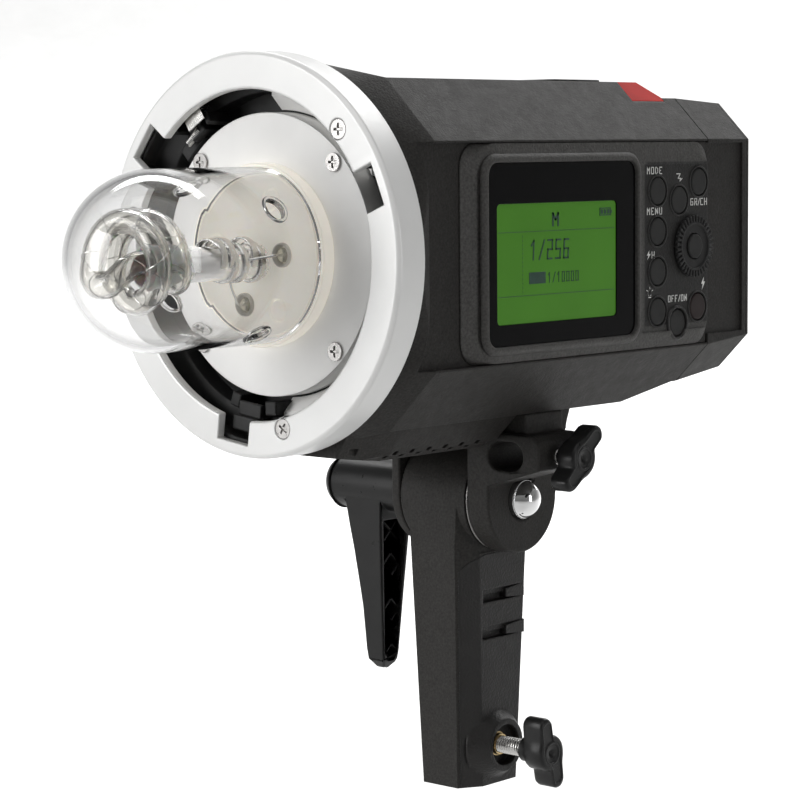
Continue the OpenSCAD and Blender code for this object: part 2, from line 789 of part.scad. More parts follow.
// Release button on the top of the pack, pushed down to free it
module battery_latch() {
  color([0.1, 0.1, 0.1]) difference() {
    block([-9, pack_y + 11.3, beam_z + 38.4], [9, pack_y + 17, beam_z + 49.3]);
    for (k = [-2:2]) block([k * 3 - 0.5, pack_y + 10, beam_z + 48.7],
      [k * 3 + 0.5, pack_y + 18, beam_z + 50]);
  }
  color([0.1, 0.1, 0.1])
    block([-12, pack_y + 11.3, beam_z + 37.4], [12, pack_y + 17, beam_z + 38.41]);
}

// ---- bracket on the head ----

// Side view of one cheek: a disc on the tilt axis and the web up to the body
module cheek_outline() {
  translate([0, tilt_z]) circle(cheek_r);
  polygon([
    [-cheek_r, tilt_z], [-cheek_r, 121.8], [-15.6, 122.6], [-15.6, yoke_z], [27, yoke_z],
    [24.4, 122], [21, 110], [cheek_r, tilt_z]
  ]);
}

module yoke() {
  color([0.18, 0.17, 0.16]) difference() {
    union() {
      along_x(cheek_in, cheek_x) cheek_outline();
      along_x(-18.5, -cheek_in) cheek_outline();
      block([-18.5, -15.6, 119.6], [cheek_x, 24, yoke_z]);
      // umbrella block outside the right cheek
      along_y(-cheek_r, block_y1) polygon([
        [cheek_x - 1, 103.7], [block_x, 110.4], [block_x, 119.4], [block_x - 2.4, 121.8],
        [cheek_x - 1, 121.8]
      ]);
      block([cheek_x - 1, -15.6, 121.7], [38, block_y1, yoke_z]);
    }
    // slot for the umbrella shaft
    for (x = [slot_x, slot_x2]) translate([x, 20, slot_z]) rotate([90, 0, 0])
      cylinder(h = 60, r = umbrella_r);
    block([slot_x, -40, slot_z - umbrella_r], [slot_x2, 30, slot_z + umbrella_r]);
    // thread of the umbrella screw
    bar(slot_x2, 60, umb_y, slot_z, screw_r + run_fit);
    // tilt bolt, and the shallow seat of the dome nut
    bar(-30, 30, 0, tilt_z, bolt_r + 0.1);
    bar(cheek_x - 1.2, cheek_x + 5, 0, tilt_z, 7.2);
  }
}

module umbrella_pad() {
  color("goldenrod") bar(slot_x2 + 4.85, slot_x2 + 6.3, umb_y, slot_z, pad_r);
}

module umbrella_screw() {
  color("silver") bar(slot_x2 + 9.4, knob_x + 2.8, umb_y, slot_z, screw_r);
}

// Wing knob: a hub and two wings set off to opposite sides
module wing_knob(x0, collar, wing, y, z, turn) {
  difference() {
    translate([x0, y, z]) rotate([turn, 0, 0]) {
      rotate([0, 90, 0]) {
        cylinder(h = collar + 1, r = 4.2);
        translate([0, 0, collar]) cylinder(h = wing, r = 6.1);
      }
      for (s = [-1, 1]) hull() for (h = [2, 9.6]) translate([collar, s * -2.5, s * h])
        rotate([0, 90, 0]) cylinder(h = wing, r = 2.9, $fn = 32);
    }
    bar(x0 - 1, x0 + 3.1, y, z, screw_r + 0.03);
  }
}

module umbrella_knob() {
  color([0.08, 0.08, 0.08]) wing_knob(knob_x, 1.5, 7.3, umb_y, slot_z, -57);
}

module tilt_nut() {
  color("silver") difference() {
    union() {
      bar(cheek_x - 1.15, cheek_x + 1.2, 0, tilt_z, 6.7);
      translate([cheek_x + 1.2, 0, tilt_z]) rotate([0, 90, 0]) rotate_extrude() intersection() {
        translate([0, -1.8]) circle(6.6);
        translate([0, -0.05]) square([6.3, 12]);
      }
    }
    bar(cheek_x - 3, cheek_x + 3, 0, tilt_z, bolt_r + run_fit);
  }
}

module tilt_bolt() {
  color("silver") {
    bar(-45, cheek_x + 2.6, 0, tilt_z, bolt_r);
    bar(-50, -44.99, 0, tilt_z, 6.5);
  }
}

// Lever that clamps the tilt: a hub with a domed end and a hollow ribbed blade
module tilt_lever() {
  blade_z = 33;
  color([0.1, 0.1, 0.1]) difference() {
    union() {
      translate([lever_x0, 0, tilt_z]) rotate([0, -90, 0]) rotate_extrude($fn = 96) union() {
        square([9, 36.5]);
        square([3.5, 41.5]);
        intersection() {
          translate([3.5, 36]) circle(5.5, $fn = 48);
          square([12, 50]);
        }
      }
      intersection() {
        along_y(-12, 14) polygon([
          [-50.5, tilt_z], [-46.6, 75], [-44, 55], [-43.2, 40], [-42.6, blade_z + 3.4],
          [-40, blade_z], [-37.4, blade_z], [-35.3, blade_z + 3.4], [-34.6, 60], [-33, 92],
          [-33, tilt_z]
        ]);
        along_x(-60, -20) polygon([
          [-8, tilt_z], [-7.4, 84], [-5.6, 60], [-4.2, blade_z + 3.6], [-2.2, blade_z + 0.6],
          [0.6, blade_z], [3.2, blade_z + 2], [4.2, blade_z + 6], [6.4, 60], [8.6, 84],
          [8.8, tilt_z]
        ]);
      }
    }
    // bolt seat inside the hub
    bar(-50.02, -10, 0, tilt_z, bolt_r + 0.02);
    bar(-50.02, -44.9, 0, tilt_z, 6.52);
    // hollow side of the blade
    along_x(-41.4, -20) polygon([
      [-5.4, 86], [-3.9, 60], [-2.8, 39], [-1, 36.6], [1, 36.6], [2.6, 39], [4.4, 60], [6.6, 86]
    ]);
  }
  // crossed ribs in the hollow
  color([0.1, 0.1, 0.1]) intersection() {
    along_x(-41.5, -35.6) polygon([
      [-5.5, 86.1], [-4, 60], [-2.9, 38.9], [-1, 36.5], [1, 36.5], [2.7, 38.9], [4.5, 60],
      [6.7, 86.1]
    ]);
    union() for (k = [0:5], s = [-1, 1])
      translate([-41.5, 0.5, 42 + k * 8]) rotate([s * 42, 0, 0]) translate([0, -9, -0.35])
        cube([6.5, 18, 0.7]);
  }
}

// ---- handle ----

// Outer block of the handle, tapered in both views, with chamfered long edges
module handle_solid() {
  intersection() {
    along_y(-30, 30) polygon([[-12, 0], [12.2, 0], [14.1, 80], [knuckle_x, 80.1],
      [knuckle_x, tilt_z], [-13.6, tilt_z], [-13.6, 80]]);
    along_x(-30, 30) polygon([[-15, 0], [15.5, 0], [18.3, 80],
      [18.3, tilt_z], [-18.3, tilt_z], [-18.3, 80]]);
    hull() {
      for (z = [-1, 100]) translate([0, 0, z]) linear_extrude(0.5) {
        k = z < 0 ? 0 : 1;
        f = 15 + 3.3 * k * 1.2;
        w = 7.5 + 2.7 * k;
        polygon([
          [-w, -f], [w, -f], [w + 4.8, 8 - f], [w + 4.8, f - 5], [w, f + 0.6], [-w, f + 0.6],
          [-w - 4.8, f - 5], [-w - 4.8, 8 - f]
        ]);
      }
    }
  }
}

// The space of the grip cover: a slab on the +X side that wraps the front corner, grown by g
module cover_space(g) {
  along_x(split_x - g, 30) cover_outline(g);
  intersection() {
    along_x(0, 30) cover_outline(g);
    along_y(-30, -10.5 + g) polygon([
      [8 - g, -1], [10.2 - g, 82], [30, 82], [30, -1]
    ]);
  }
}

// Side view of the grip cover, with a round upper front corner
module cover_outline(g) {
  translate([-20, -5]) square([36.4 + g, 71]);
  translate([-6, 66]) circle(13.5 + g, $fn = 96);
  translate([-6, 60]) square([20 + g, 19.5 + g]);
}

module handle_body() {
  color([0.19, 0.17, 0.16]) difference() {
    union() {
      bar(-knuckle_x, knuckle_x, 0, tilt_z, knuckle_r);
      intersection() {
        handle_solid();
        block([-40, -30, 0], [40, 30, tilt_z]);
      }
    }
    cover_space(0.05);
    translate([0, 0, -1]) cylinder(h = stud_depth + 1, r = stud_r);
    bar(-30, 30, 0, tilt_z, bolt_r + run_fit);
    bar(0, 30, 0, clamp_z, 4.2);
    // hollow core above the stud bore
    block([-6, -10, stud_depth + 6], [6, 10, 74]);
  }
}

module grip_cover() {
  color([0.15, 0.15, 0.15]) difference() {
    union() {
      intersection() {
        handle_solid();
        cover_space(0);
        block([0, -30, 0], [30, 30, 80]);
      }
      // conical boss round the clamp screw
      translate([split_x, 0, clamp_z]) rotate([0, 90, 0]) intersection() {
        cylinder(h = 6.4, r1 = 13.6, r2 = 8.8);
        translate([-20, -20, 0]) cube([33.6, 40, 10]);
      }
    }
    bar(0, 30, 0, clamp_z, 4.2);
    bar(12.9, 30, 0, clamp_z, 7);
    // two grip slots, deep below a shelf
    for (z = grip_slots) {
      block([12.5, -8.6, z - 2.2], [20, 13, z + 2.2]);
      block([11, -8.6, z - 2.2], [20, 13, z + 0.3]);
    }
  }
  // tapered pads at the back of the slots
  color([0.15, 0.15, 0.15]) for (z = grip_slots) along_x(10.95, 13.8) polygon([
    [3.4, z - 1.5], [13.05, z - 2.25], [13.05, z + 2.25], [3.4, z + 1.3]
  ]);
}

module tilt_washers() {
  color("dimgray") for (s = [-1, 1]) difference() {
    bar(s > 0 ? 13.95 : -14.65, s > 0 ? 14.65 : -13.95, 0, tilt_z, 17.7);
    bar(-20, 20, 0, tilt_z, bolt_r + 0.2);
  }
}

module thread_insert() {
  color("goldenrod") difference() {
    union() {
      bar(8.5, 12.8, 0, clamp_z, 4.18);
      bar(12.79, 14.2, 0, clamp_z, 3.6);
    }
    bar(0, 30, 0, clamp_z, screw_r + run_fit);
  }
}

module stand_pad() {
  color("goldenrod") bar(8.55, 10, 0, clamp_z, pad_r);
}

module stand_screw() {
  color("silver") bar(10.05, stand_knob_x + 3, 0, clamp_z, screw_r);
}

module stand_knob() {
  color([0.08, 0.08, 0.08]) wing_knob(stand_knob_x, 3.6, 8.4, 0, clamp_z, 4);
}

mount_ring();
front_screws();
bayonet_housing();
lock_tab();
spring_clip();
reflector_liner();
reflector_plate();
tube_socket();
base_collar();
glass_dome();
flash_tube();
tube_stem();
electrode_bands();
modelling_led();
body_right();
body_left();
display_bezel();
left_panel();
display_glass();
lcd_panel();
display_board();
mode_button();
menu_button();
hss_button();
lamp_button();
sync_button();
group_button();
power_button();
test_button();
dial();
dial_button();
sensor_window();
top_plate();
main_board();
capacitor_bank();
trigger_coil();
fan_frame();
fan_rotor();
case_screws();
rear_panel();
battery_case();
battery_cover();
battery_cells();
battery_latch();
yoke();
umbrella_pad();
umbrella_screw();
umbrella_knob();
tilt_nut();
tilt_bolt();
tilt_lever();
handle_body();
grip_cover();
tilt_washers();
thread_insert();
stand_pad();
stand_screw();
stand_knob();
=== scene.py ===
"""Looks of the monolight strobe: materials, glass, readout, labels and rounded edges around the CAD frame."""

import functools
import json
import math

import bmesh
import bpy
from mathutils import Matrix, Vector


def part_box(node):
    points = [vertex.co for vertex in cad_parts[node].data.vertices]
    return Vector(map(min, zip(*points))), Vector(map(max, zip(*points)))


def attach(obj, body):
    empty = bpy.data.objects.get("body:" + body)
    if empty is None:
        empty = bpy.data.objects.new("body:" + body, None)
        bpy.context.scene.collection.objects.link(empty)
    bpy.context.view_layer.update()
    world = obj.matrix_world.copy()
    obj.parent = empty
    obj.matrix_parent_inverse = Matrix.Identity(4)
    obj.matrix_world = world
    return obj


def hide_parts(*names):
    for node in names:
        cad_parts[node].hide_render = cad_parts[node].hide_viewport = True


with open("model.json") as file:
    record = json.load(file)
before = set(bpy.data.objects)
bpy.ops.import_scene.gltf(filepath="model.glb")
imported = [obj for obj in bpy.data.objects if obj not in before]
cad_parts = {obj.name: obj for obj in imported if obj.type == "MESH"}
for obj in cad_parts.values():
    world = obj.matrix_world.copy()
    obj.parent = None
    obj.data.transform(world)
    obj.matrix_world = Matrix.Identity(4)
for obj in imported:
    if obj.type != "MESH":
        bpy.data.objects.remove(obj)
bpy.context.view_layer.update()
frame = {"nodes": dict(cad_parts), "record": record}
NODES = frame["nodes"]
MM = 0.001


# ---- places taken from the frame ----

def middle(node):
    """The middle of a node's box, in metres."""
    low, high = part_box(node)
    return (low + high) / 2


RING_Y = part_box("mount_ring")[0].y
BEAM_Z = middle("mount_ring").z
BUTTONS = ["mode_button", "menu_button", "hss_button", "lamp_button", "sync_button", "group_button",
           "power_button", "test_button"]
# The buttons stand this far out of their field, in millimetres
BUTTON_RISE = 0.3
FIELD_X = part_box("mode_button")[1].x / MM - BUTTON_RISE


def from_beam(x, y, z):
    """A place in metres from millimetres, with z counted from the beam axis."""
    return Vector((x, y, z)) * MM + Vector((0, 0, BEAM_Z))


# ---- camera, stage and light ----

def make_camera():
    """The camera looks at its target from azimuth degrees right of the beam and elevation degrees up."""
    azimuth, elevation, roll = (math.radians(a) for a in (41.652, 5.545, -0.484))
    distance = 834.3 * MM
    target = Vector((18.48, -54.8, 134.99)) * MM
    right = Vector((math.cos(azimuth), math.sin(azimuth), 0))
    back = Vector((math.sin(azimuth) * math.cos(elevation), -math.cos(azimuth) * math.cos(elevation),
                   math.sin(elevation)))
    up = back.cross(right)
    data = bpy.data.cameras.new("camera")
    data.sensor_width = 36
    data.lens = 118.364
    data.clip_start = 0.01
    data.clip_end = 60
    camera = bpy.data.objects.new("camera", data)
    axes = Matrix((right, up, back)).transposed().to_4x4() @ Matrix.Rotation(roll, 4, "Z")
    camera.matrix_world = Matrix.Translation(target + back * distance) @ axes
    bpy.context.scene.collection.objects.link(camera)
    bpy.context.scene.camera = camera


def make_stage():
    """A pale dish: flat under the object and rising far away, so that it has no horizon line."""
    floor_z = -0.14
    profile = [(1.5, 0), (2.5, 0.02), (3.5, 0.16), (4.5, 0.6), (5.2, 1.4), (5.6, 2.6), (5.7, 4.2)]
    steps = 64
    bm = bmesh.new()
    loops = []
    for radius, rise in profile:
        loops.append([bm.verts.new((radius * math.cos(a), radius * math.sin(a), floor_z + rise))
                      for a in (2 * math.pi * k / steps for k in range(steps))])
    bm.faces.new(loops[0])
    for inner, outer in zip(loops, loops[1:]):
        for k in range(steps):
            bm.faces.new((inner[k], outer[k], outer[(k + 1) % steps], inner[(k + 1) % steps]))
    mesh = bpy.data.meshes.new("floor")
    bm.to_mesh(mesh)
    bm.free()
    mesh.shade_smooth()
    floor = bpy.data.objects.new("floor", mesh)
    bpy.context.scene.collection.objects.link(floor)
    shader = Shader("floor_paper", (0.62, 0.62, 0.617), 0.85)
    shader.tint(shader.noise(60, 3), 0.02)
    floor.data.materials.append(shader.material)


def add_light(name, place, aim, size, power):
    data = bpy.data.lights.new(name, "AREA")
    data.shape = "RECTANGLE"
    data.size, data.size_y = size
    data.energy = power
    light = bpy.data.objects.new(name, data)
    light.location = place
    light.rotation_euler = (Vector(aim) - Vector(place)).to_track_quat("-Z", "Y").to_euler()
    bpy.context.scene.collection.objects.link(light)


def make_lights():
    centre = (0, -0.03, 0.17)
    add_light("key_top", (0.35, -0.5, 1.35), centre, (1.1, 1.1), 4.5)
    add_light("front_left", (-0.65, -1.35, 0.45), centre, (0.7, 1.0), 13)
    add_light("side_right", (1.5, 0.12, 0.22), centre, (0.35, 0.9), 3.6)
    add_light("back_rim", (-0.3, 1.2, 0.75), centre, (1.0, 0.6), 3)
    add_light("background", (-0.9, 1.5, 2.2), (-2.0, 2.9, -0.1), (2.5, 2.5), 190)
    world = bpy.data.worlds.new("studio")
    world.use_nodes = True
    world.node_tree.nodes["Background"].inputs["Color"].default_value = (1, 1, 1, 1)
    world.node_tree.nodes["Background"].inputs["Strength"].default_value = 0.17
    bpy.context.scene.world = world


# ---- materials ----

class Shader:
    """A Principled material with a few procedural helpers. Sizes are in millimetres."""

    def __init__(self, name, color, roughness, metallic=0.0, **constants):
        self.name = name
        self.material = bpy.data.materials.new(name)
        self.material.use_nodes = True
        self.tree = self.material.node_tree
        self.bsdf = self.tree.nodes["Principled BSDF"]
        self.color = color
        self.roughness = roughness
        self.bsdf.inputs["Base Color"].default_value = (*color, 1)
        self.bsdf.inputs["Roughness"].default_value = roughness
        self.bsdf.inputs["Metallic"].default_value = metallic
        for socket, value in constants.items():
            self.bsdf.inputs[socket.replace("_", " ")].default_value = value
        self.place = self.node("ShaderNodeTexCoord").outputs["Object"]

    def node(self, kind, settings=None, **inputs):
        made = self.tree.nodes.new(kind)
        for key, value in (settings or {}).items():
            setattr(made, key, value)
        for key, value in inputs.items():
            socket = made.inputs[key.replace("_", " ")]
            if isinstance(value, bpy.types.NodeSocket):
                self.tree.links.new(value, socket)
            else:
                socket.default_value = value
        return made

    def noise(self, size, detail):
        return self.node("ShaderNodeTexNoise", Vector=self.place, Scale=1 / (size * MM), Detail=detail,
                         Roughness=0.55).outputs["Fac"]

    def cells(self, size):
        return self.node("ShaderNodeTexVoronoi", {"feature": "SMOOTH_F1"}, Vector=self.place,
                         Scale=1 / (size * MM), Smoothness=0.5).outputs["Distance"]

    def ramp(self, value, low, high, out_low=0.0, out_high=1.0):
        return self.node("ShaderNodeMapRange", Value=value, From_Min=low, From_Max=high, To_Min=out_low,
                         To_Max=out_high).outputs["Result"]

    def product(self, first, second):
        made = self.node("ShaderNodeMath", {"operation": "MULTIPLY"})
        for socket, value in zip(made.inputs, (first, second)):
            self.tree.links.new(value, socket)
        return made.outputs["Value"]

    def mix(self, factor, first, second, blend="MIX"):
        made = self.node("ShaderNodeMix", {"data_type": "RGBA", "blend_type": blend})
        for key, value in (("Factor", factor), ("A", first), ("B", second)):
            socket = [s for s in made.inputs if s.name == key and s.enabled][0]
            if isinstance(value, bpy.types.NodeSocket):
                self.tree.links.new(value, socket)
            else:
                socket.default_value = value if key == "Factor" else (*value, 1)
        return [s for s in made.outputs if s.enabled][0]

    def tint(self, value, amount):
        """Varies the colour with value, between darker and lighter."""
        low = tuple(c * (1 - amount) for c in self.color)
        high = tuple(min(1, c * (1 + amount)) for c in self.color)
        self.tree.links.new(self.mix(self.ramp(value, 0.3, 0.7), low, high), self.bsdf.inputs["Base Color"])
        return self

    def inside(self, y_range, z_range):
        """1 where the place is inside both ranges, in metres, and 0 outside."""
        place = self.node("ShaderNodeSeparateXYZ", Vector=self.place)
        soft = 0.3 * MM
        steps = []
        for axis, (low, high) in (("Y", y_range), ("Z", z_range)):
            steps.append(self.ramp(place.outputs[axis], low - soft, low + soft))
            steps.append(self.ramp(place.outputs[axis], high + soft, high - soft))
        return functools.reduce(self.product, steps)

    def darken(self, value, share):
        """Scales the colour by share where value is 1."""
        under = self.bsdf.inputs["Base Color"].links[0].from_socket
        grey = self.mix(value, (1, 1, 1), (share, share, share))
        self.tree.links.new(self.mix(1.0, under, grey, "MULTIPLY"), self.bsdf.inputs["Base Color"])
        return self

    def gloss(self, value, amount):
        """Varies the roughness with value."""
        rough = self.ramp(value, 0.25, 0.75, self.roughness - amount, self.roughness + amount)
        self.tree.links.new(rough, self.bsdf.inputs["Roughness"])
        return self

    def round_corners(self, radius):
        """Shades corners as if rounded to the radius in millimetres."""
        made = self.node("ShaderNodeBevel", {"samples": 4}, Radius=radius * MM)
        self.tree.links.new(made.outputs["Normal"], self.bsdf.inputs["Normal"])
        return self

    def bump(self, height, depth):
        """Raises the surface by depth millimetres where height is 1; bumps add up."""
        under = self.bsdf.inputs["Normal"].links
        made = self.node("ShaderNodeBump", Height=height, Distance=depth * MM, Strength=1.0)
        if under:
            self.tree.links.new(under[0].from_socket, made.inputs["Normal"])
        self.tree.links.new(made.outputs["Normal"], self.bsdf.inputs["Normal"])
        return self


def moulded(name, color, roughness, grain=0.5, depth=0.03, mottle=0.1, corner=0.5, shine=0.3, spot=9):
    """Moulded plastic: a spark-eroded grain, slight mottling in spots, uneven gloss and rounded corners."""
    shader = Shader(name, color, roughness, Specular_IOR_Level=shine)
    shader.tint(shader.noise(spot, 4), mottle)
    shader.gloss(shader.noise(4, 3), 0.06)
    shader.round_corners(corner)
    shader.bump(shader.noise(grain, 3), depth)
    return shader


def make_whites():
    ring = Shader("white_ring", (0.84, 0.84, 0.83), 0.34, 0.12)
    ring.gloss(ring.noise(3, 4), 0.05)
    ring.tint(ring.noise(20, 2), 0.02)
    ring.bump(ring.noise(0.35, 2), 0.012)
    reflector = Shader("white_reflector", (0.93, 0.925, 0.91), 0.5)
    reflector.tint(reflector.noise(18, 3), 0.025)
    reflector.bump(reflector.noise(0.5, 2), 0.01)
    # The glow stands in for the light that the closed dome shades
    frosted = Shader("frosted", (0.88, 0.84, 0.75), 0.5, Subsurface_Weight=0.15, Subsurface_Scale=2 * MM,
                     Emission_Color=(0.88, 0.84, 0.76, 1), Emission_Strength=0.36)
    frosted.tint(frosted.noise(14, 3), 0.04)
    frosted.bump(frosted.noise(0.4, 2), 0.01)
    ceramic = Shader("ceramic", (0.78, 0.75, 0.68), 0.45)
    ceramic.tint(ceramic.noise(6, 3), 0.04)
    sleeve = Shader("white_sleeve", (0.93, 0.93, 0.91), 0.35, Subsurface_Weight=0.3, Subsurface_Scale=3 * MM)
    sleeve.tint(sleeve.noise(3, 3), 0.03)
    return [ring, reflector, frosted, ceramic, sleeve]


def make_plastics():
    body = moulded("body_plastic", (0.027, 0.0255, 0.0238), 0.55, grain=0.75, depth=0.16, mottle=0.3,
                   corner=0.7, shine=0.2, spot=0.8)
    bezel = moulded("bezel_plastic", (0.060, 0.058, 0.055), 0.5, grain=0.7, depth=0.2, mottle=0.35,
                    corner=0.7, spot=0.8)
    # The button field is darker than the rest of the bezel
    field = bezel.inside((22.4 * MM, 80 * MM), (BEAM_Z - 26.6 * MM, BEAM_Z + 27.2 * MM))
    bezel.darken(field, 0.22)
    panel = moulded("panel_plastic", (0.014, 0.0132, 0.0126), 0.38, grain=0.6, depth=0.1, mottle=0.06,
                    corner=0.6, shine=0.45)
    grip = moulded("grip_plastic", (0.016, 0.015, 0.0145), 0.45, grain=0.8, depth=0.1, mottle=0.08,
                   corner=0.9, shine=0.35)
    grip.bump(grip.cells(0.75), 0.12)
    black = moulded("black_plastic", (0.014, 0.014, 0.014), 0.5)
    knob = moulded("knob_black", (0.013, 0.013, 0.013), 0.32, grain=0.6, depth=0.018)
    rubber = moulded("black_rubber", (0.011, 0.011, 0.0105), 0.55, grain=0.3, depth=0.02)
    rubber.bsdf.inputs["Sheen Weight"].default_value = 0.05
    red = moulded("red_rubber", (0.016, 0.008, 0.0075), 0.5, grain=0.3, depth=0.02)
    return [body, bezel, panel, grip, black, knob, rubber, red]


def make_glasses():
    dome = Shader("dome_glass", (1, 1, 1), 0.0, Transmission_Weight=1.0, IOR=1.46)
    smoke = dome.node("ShaderNodeVolumeAbsorption", Color=(0.45, 0.45, 0.46, 1), Density=60.0)
    dome.tree.links.new(smoke.outputs["Volume"], dome.tree.nodes["Material Output"].inputs["Volume"])
    dome.bump(dome.noise(22, 1), 0.06)
    tube_wall = Shader("tube_glass", (0.99, 0.98, 0.95), 0.015, Transmission_Weight=0.95, IOR=1.44)
    tube_wall.bump(tube_wall.noise(5, 2), 0.08)
    lens = Shader("led_lens", (0.97, 0.95, 0.88), 0.05, Transmission_Weight=0.8, IOR=1.5)
    lens.tint(lens.noise(1.5, 2), 0.05)
    window = Shader("red_window", (0.52, 0.012, 0.007), 0.2, Specular_IOR_Level=0.08)
    window.tint(window.noise(10, 2), 0.12)
    return [dome, tube_wall, lens, window]


def make_metals():
    steel = Shader("steel", (0.74, 0.73, 0.71), 0.24, 1.0)
    steel.gloss(steel.noise(1.2, 4), 0.08)
    steel.bump(steel.noise(0.3, 3), 0.006)
    dark = Shader("dark_steel", (0.42, 0.41, 0.40), 0.3, 1.0)
    dark.gloss(dark.noise(1.2, 4), 0.08)
    electrode = Shader("electrode_dark", (0.10, 0.09, 0.09), 0.25, 1.0)
    electrode.gloss(electrode.noise(1, 3), 0.06)
    chrome = Shader("chrome", (0.92, 0.92, 0.92), 0.05, 1.0)
    chrome.gloss(chrome.noise(3, 4), 0.03)
    brass = Shader("brass", (0.68, 0.52, 0.28), 0.28, 1.0)
    brass.gloss(brass.noise(1, 4), 0.08)
    brass.tint(brass.noise(2, 3), 0.1)
    return [steel, dark, electrode, chrome, brass]


def make_display_looks():
    screen = Shader("screen_black", (0.003, 0.003, 0.0033), 0.1, Specular_IOR_Level=0.12)
    screen.gloss(screen.noise(12, 3), 0.03)
    lcd = Shader("lcd_green", (0.045, 0.15, 0.010), 0.3, Specular_IOR_Level=0.2,
                 Emission_Color=(0.055, 0.19, 0.018, 1), Emission_Strength=0.34)
    lcd.tint(lcd.noise(26, 1), 0.08)
    lcd.bump(lcd.noise(0.25, 1), 0.004)
    ink = Shader("lcd_ink", (0.012, 0.055, 0.035), 0.4)
    ink.tint(ink.noise(3, 2), 0.15)
    faint = Shader("lcd_faint", (0.030, 0.105, 0.030), 0.4)
    faint.tint(faint.noise(3, 2), 0.15)
    paint = Shader("label_white", (0.82, 0.82, 0.80), 0.5)
    paint.tint(paint.noise(0.6, 2), 0.06)
    return [screen, lcd, ink, faint, paint]


def make_inner_looks():
    shaders = []
    for name, color in (("board_green", (0.02, 0.12, 0.04)), ("capacitor_blue", (0.03, 0.06, 0.18)),
                        ("coil_brown", (0.25, 0.1, 0.03))):
        inner = Shader(name, color, 0.4)
        inner.tint(inner.noise(4, 3), 0.2)
        inner.bump(inner.noise(1, 2), 0.03)
        shaders.append(inner)
    return shaders


def make_materials():
    """Every material by name. A CAD node takes the one that is named after its slot."""
    shaders = [*make_whites(), *make_plastics(), *make_glasses(), *make_metals(), *make_display_looks(),
               *make_inner_looks()]
    return {shader.name: shader.material for shader in shaders}


def paint_nodes():
    """Gives every CAD node the material of its slot."""
    for part in frame["record"]["subparts"]:
        mesh = NODES[part["node"]].data
        mesh.materials.clear()
        mesh.materials.append(MATERIALS[part["material_slot"]])


# ---- building pieces ----

BODY_OF = {node: body for body, nodes in frame["record"]["behaviour"]["bodies"].items() for node in nodes}
SLOT_OF = {part["node"]: part["material_slot"] for part in frame["record"]["subparts"]}


def add_piece(name, mesh, material, body, stands_for=()):
    piece = bpy.data.objects.new(name, mesh)
    bpy.context.scene.collection.objects.link(piece)
    mesh.materials.clear()
    mesh.materials.append(MATERIALS[material])
    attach(piece, body)
    if stands_for:
        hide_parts(*stands_for)
    return piece


def mesh_from(name, points, faces, smooth=True):
    mesh = bpy.data.meshes.new(name)
    mesh.from_pydata([tuple(p) for p in points], [], faces)
    mesh.update()
    if smooth:
        mesh.shade_smooth()
        mesh.set_sharp_from_angle(angle=math.radians(35))
    return mesh


def loft(name, rings, closed_ends=True):
    """Joins rings of equal length into one closed skin."""
    count = len(rings[0])
    points = [p for ring in rings for p in ring]
    faces = []
    for row in range(len(rings) - 1):
        for k in range(count):
            n = (k + 1) % count
            faces.append((row * count + k, row * count + n, (row + 1) * count + n, (row + 1) * count + k))
    if closed_ends:
        faces.append(tuple(range(count))[::-1])
        last = (len(rings) - 1) * count
        faces.append(tuple(range(last, last + count)))
    return mesh_from(name, points, faces)


def beam_lathe(name, profile, steps=96, centre=(0, 0)):
    """Turns (y, radius) points about the beam axis, or about a line beside it; all in millimetres.
    A profile that ends at radius 0 closes in a point."""
    points, faces, rows = [], [], []
    for y, radius in profile:
        if radius < 1e-6:
            rows.append([len(points)])
            points.append(from_beam(centre[0], y, centre[1]))
            continue
        rows.append(list(range(len(points), len(points) + steps)))
        for k in range(steps):
            a = 2 * math.pi * k / steps
            points.append(from_beam(centre[0] + radius * math.cos(a), y, centre[1] + radius * math.sin(a)))
    for low, high in zip(rows, rows[1:]):
        for k in range(steps):
            n = (k + 1) % steps
            corners = [low[k % len(low)], low[n % len(low)], high[n % len(high)], high[k % len(high)]]
            corners = list(dict.fromkeys(corners))
            if len(corners) > 2:
                faces.append(tuple(corners))
    return mesh_from(name, points, faces)


def smooth_route(points, per_span):
    """A Catmull-Rom curve through the points."""
    route = []
    padded = [points[0] * 2 - points[1], *points, points[-1] * 2 - points[-2]]
    for a, b, c, d in zip(padded, padded[1:], padded[2:], padded[3:]):
        for k in range(per_span):
            t = k / per_span
            route.append(0.5 * (2 * b + (c - a) * t + (2 * a - 5 * b + 4 * c - d) * t * t
                                + (3 * b - a - 3 * c + d) * t ** 3))
    return [*route, points[-1]]


def carried_frames(route):
    """Two side directions at each point of a route, carried along without twist."""
    frames = []
    side = Vector((0, 0, 1))
    for k, point in enumerate(route):
        ahead = (route[min(k + 1, len(route) - 1)] - route[max(k - 1, 0)]).normalized()
        side = (side - ahead * side.dot(ahead)).normalized()
        frames.append((point, side, ahead.cross(side)))
    return frames


def tube_rings(route, radius, sides):
    return [[point + radius * (math.cos(a) * u + math.sin(a) * v)
             for a in (2 * math.pi * k / sides for k in range(sides))]
            for point, u, v in carried_frames(route)]


def tube(name, route, radius, sides=16):
    return loft(name, tube_rings(route, radius, sides))


def clean_copy(node, name, merge_flat=False):
    """A copy of a CAD node's mesh without its stored normals; merge_flat joins faces that share a plane."""
    bm = bmesh.new()
    bm.from_mesh(NODES[node].data)
    bmesh.ops.remove_doubles(bm, verts=bm.verts, dist=2e-6)
    if merge_flat:
        bmesh.ops.dissolve_limit(bm, angle_limit=math.radians(0.6), verts=bm.verts, edges=bm.edges)
    mesh = bpy.data.meshes.new(name)
    bm.to_mesh(mesh)
    bm.free()
    for layer in ("custom_normal", "sharp_edge", "sharp_face"):
        if layer in mesh.attributes:
            mesh.attributes.remove(mesh.attributes[layer])
    mesh.shade_smooth()
    return mesh


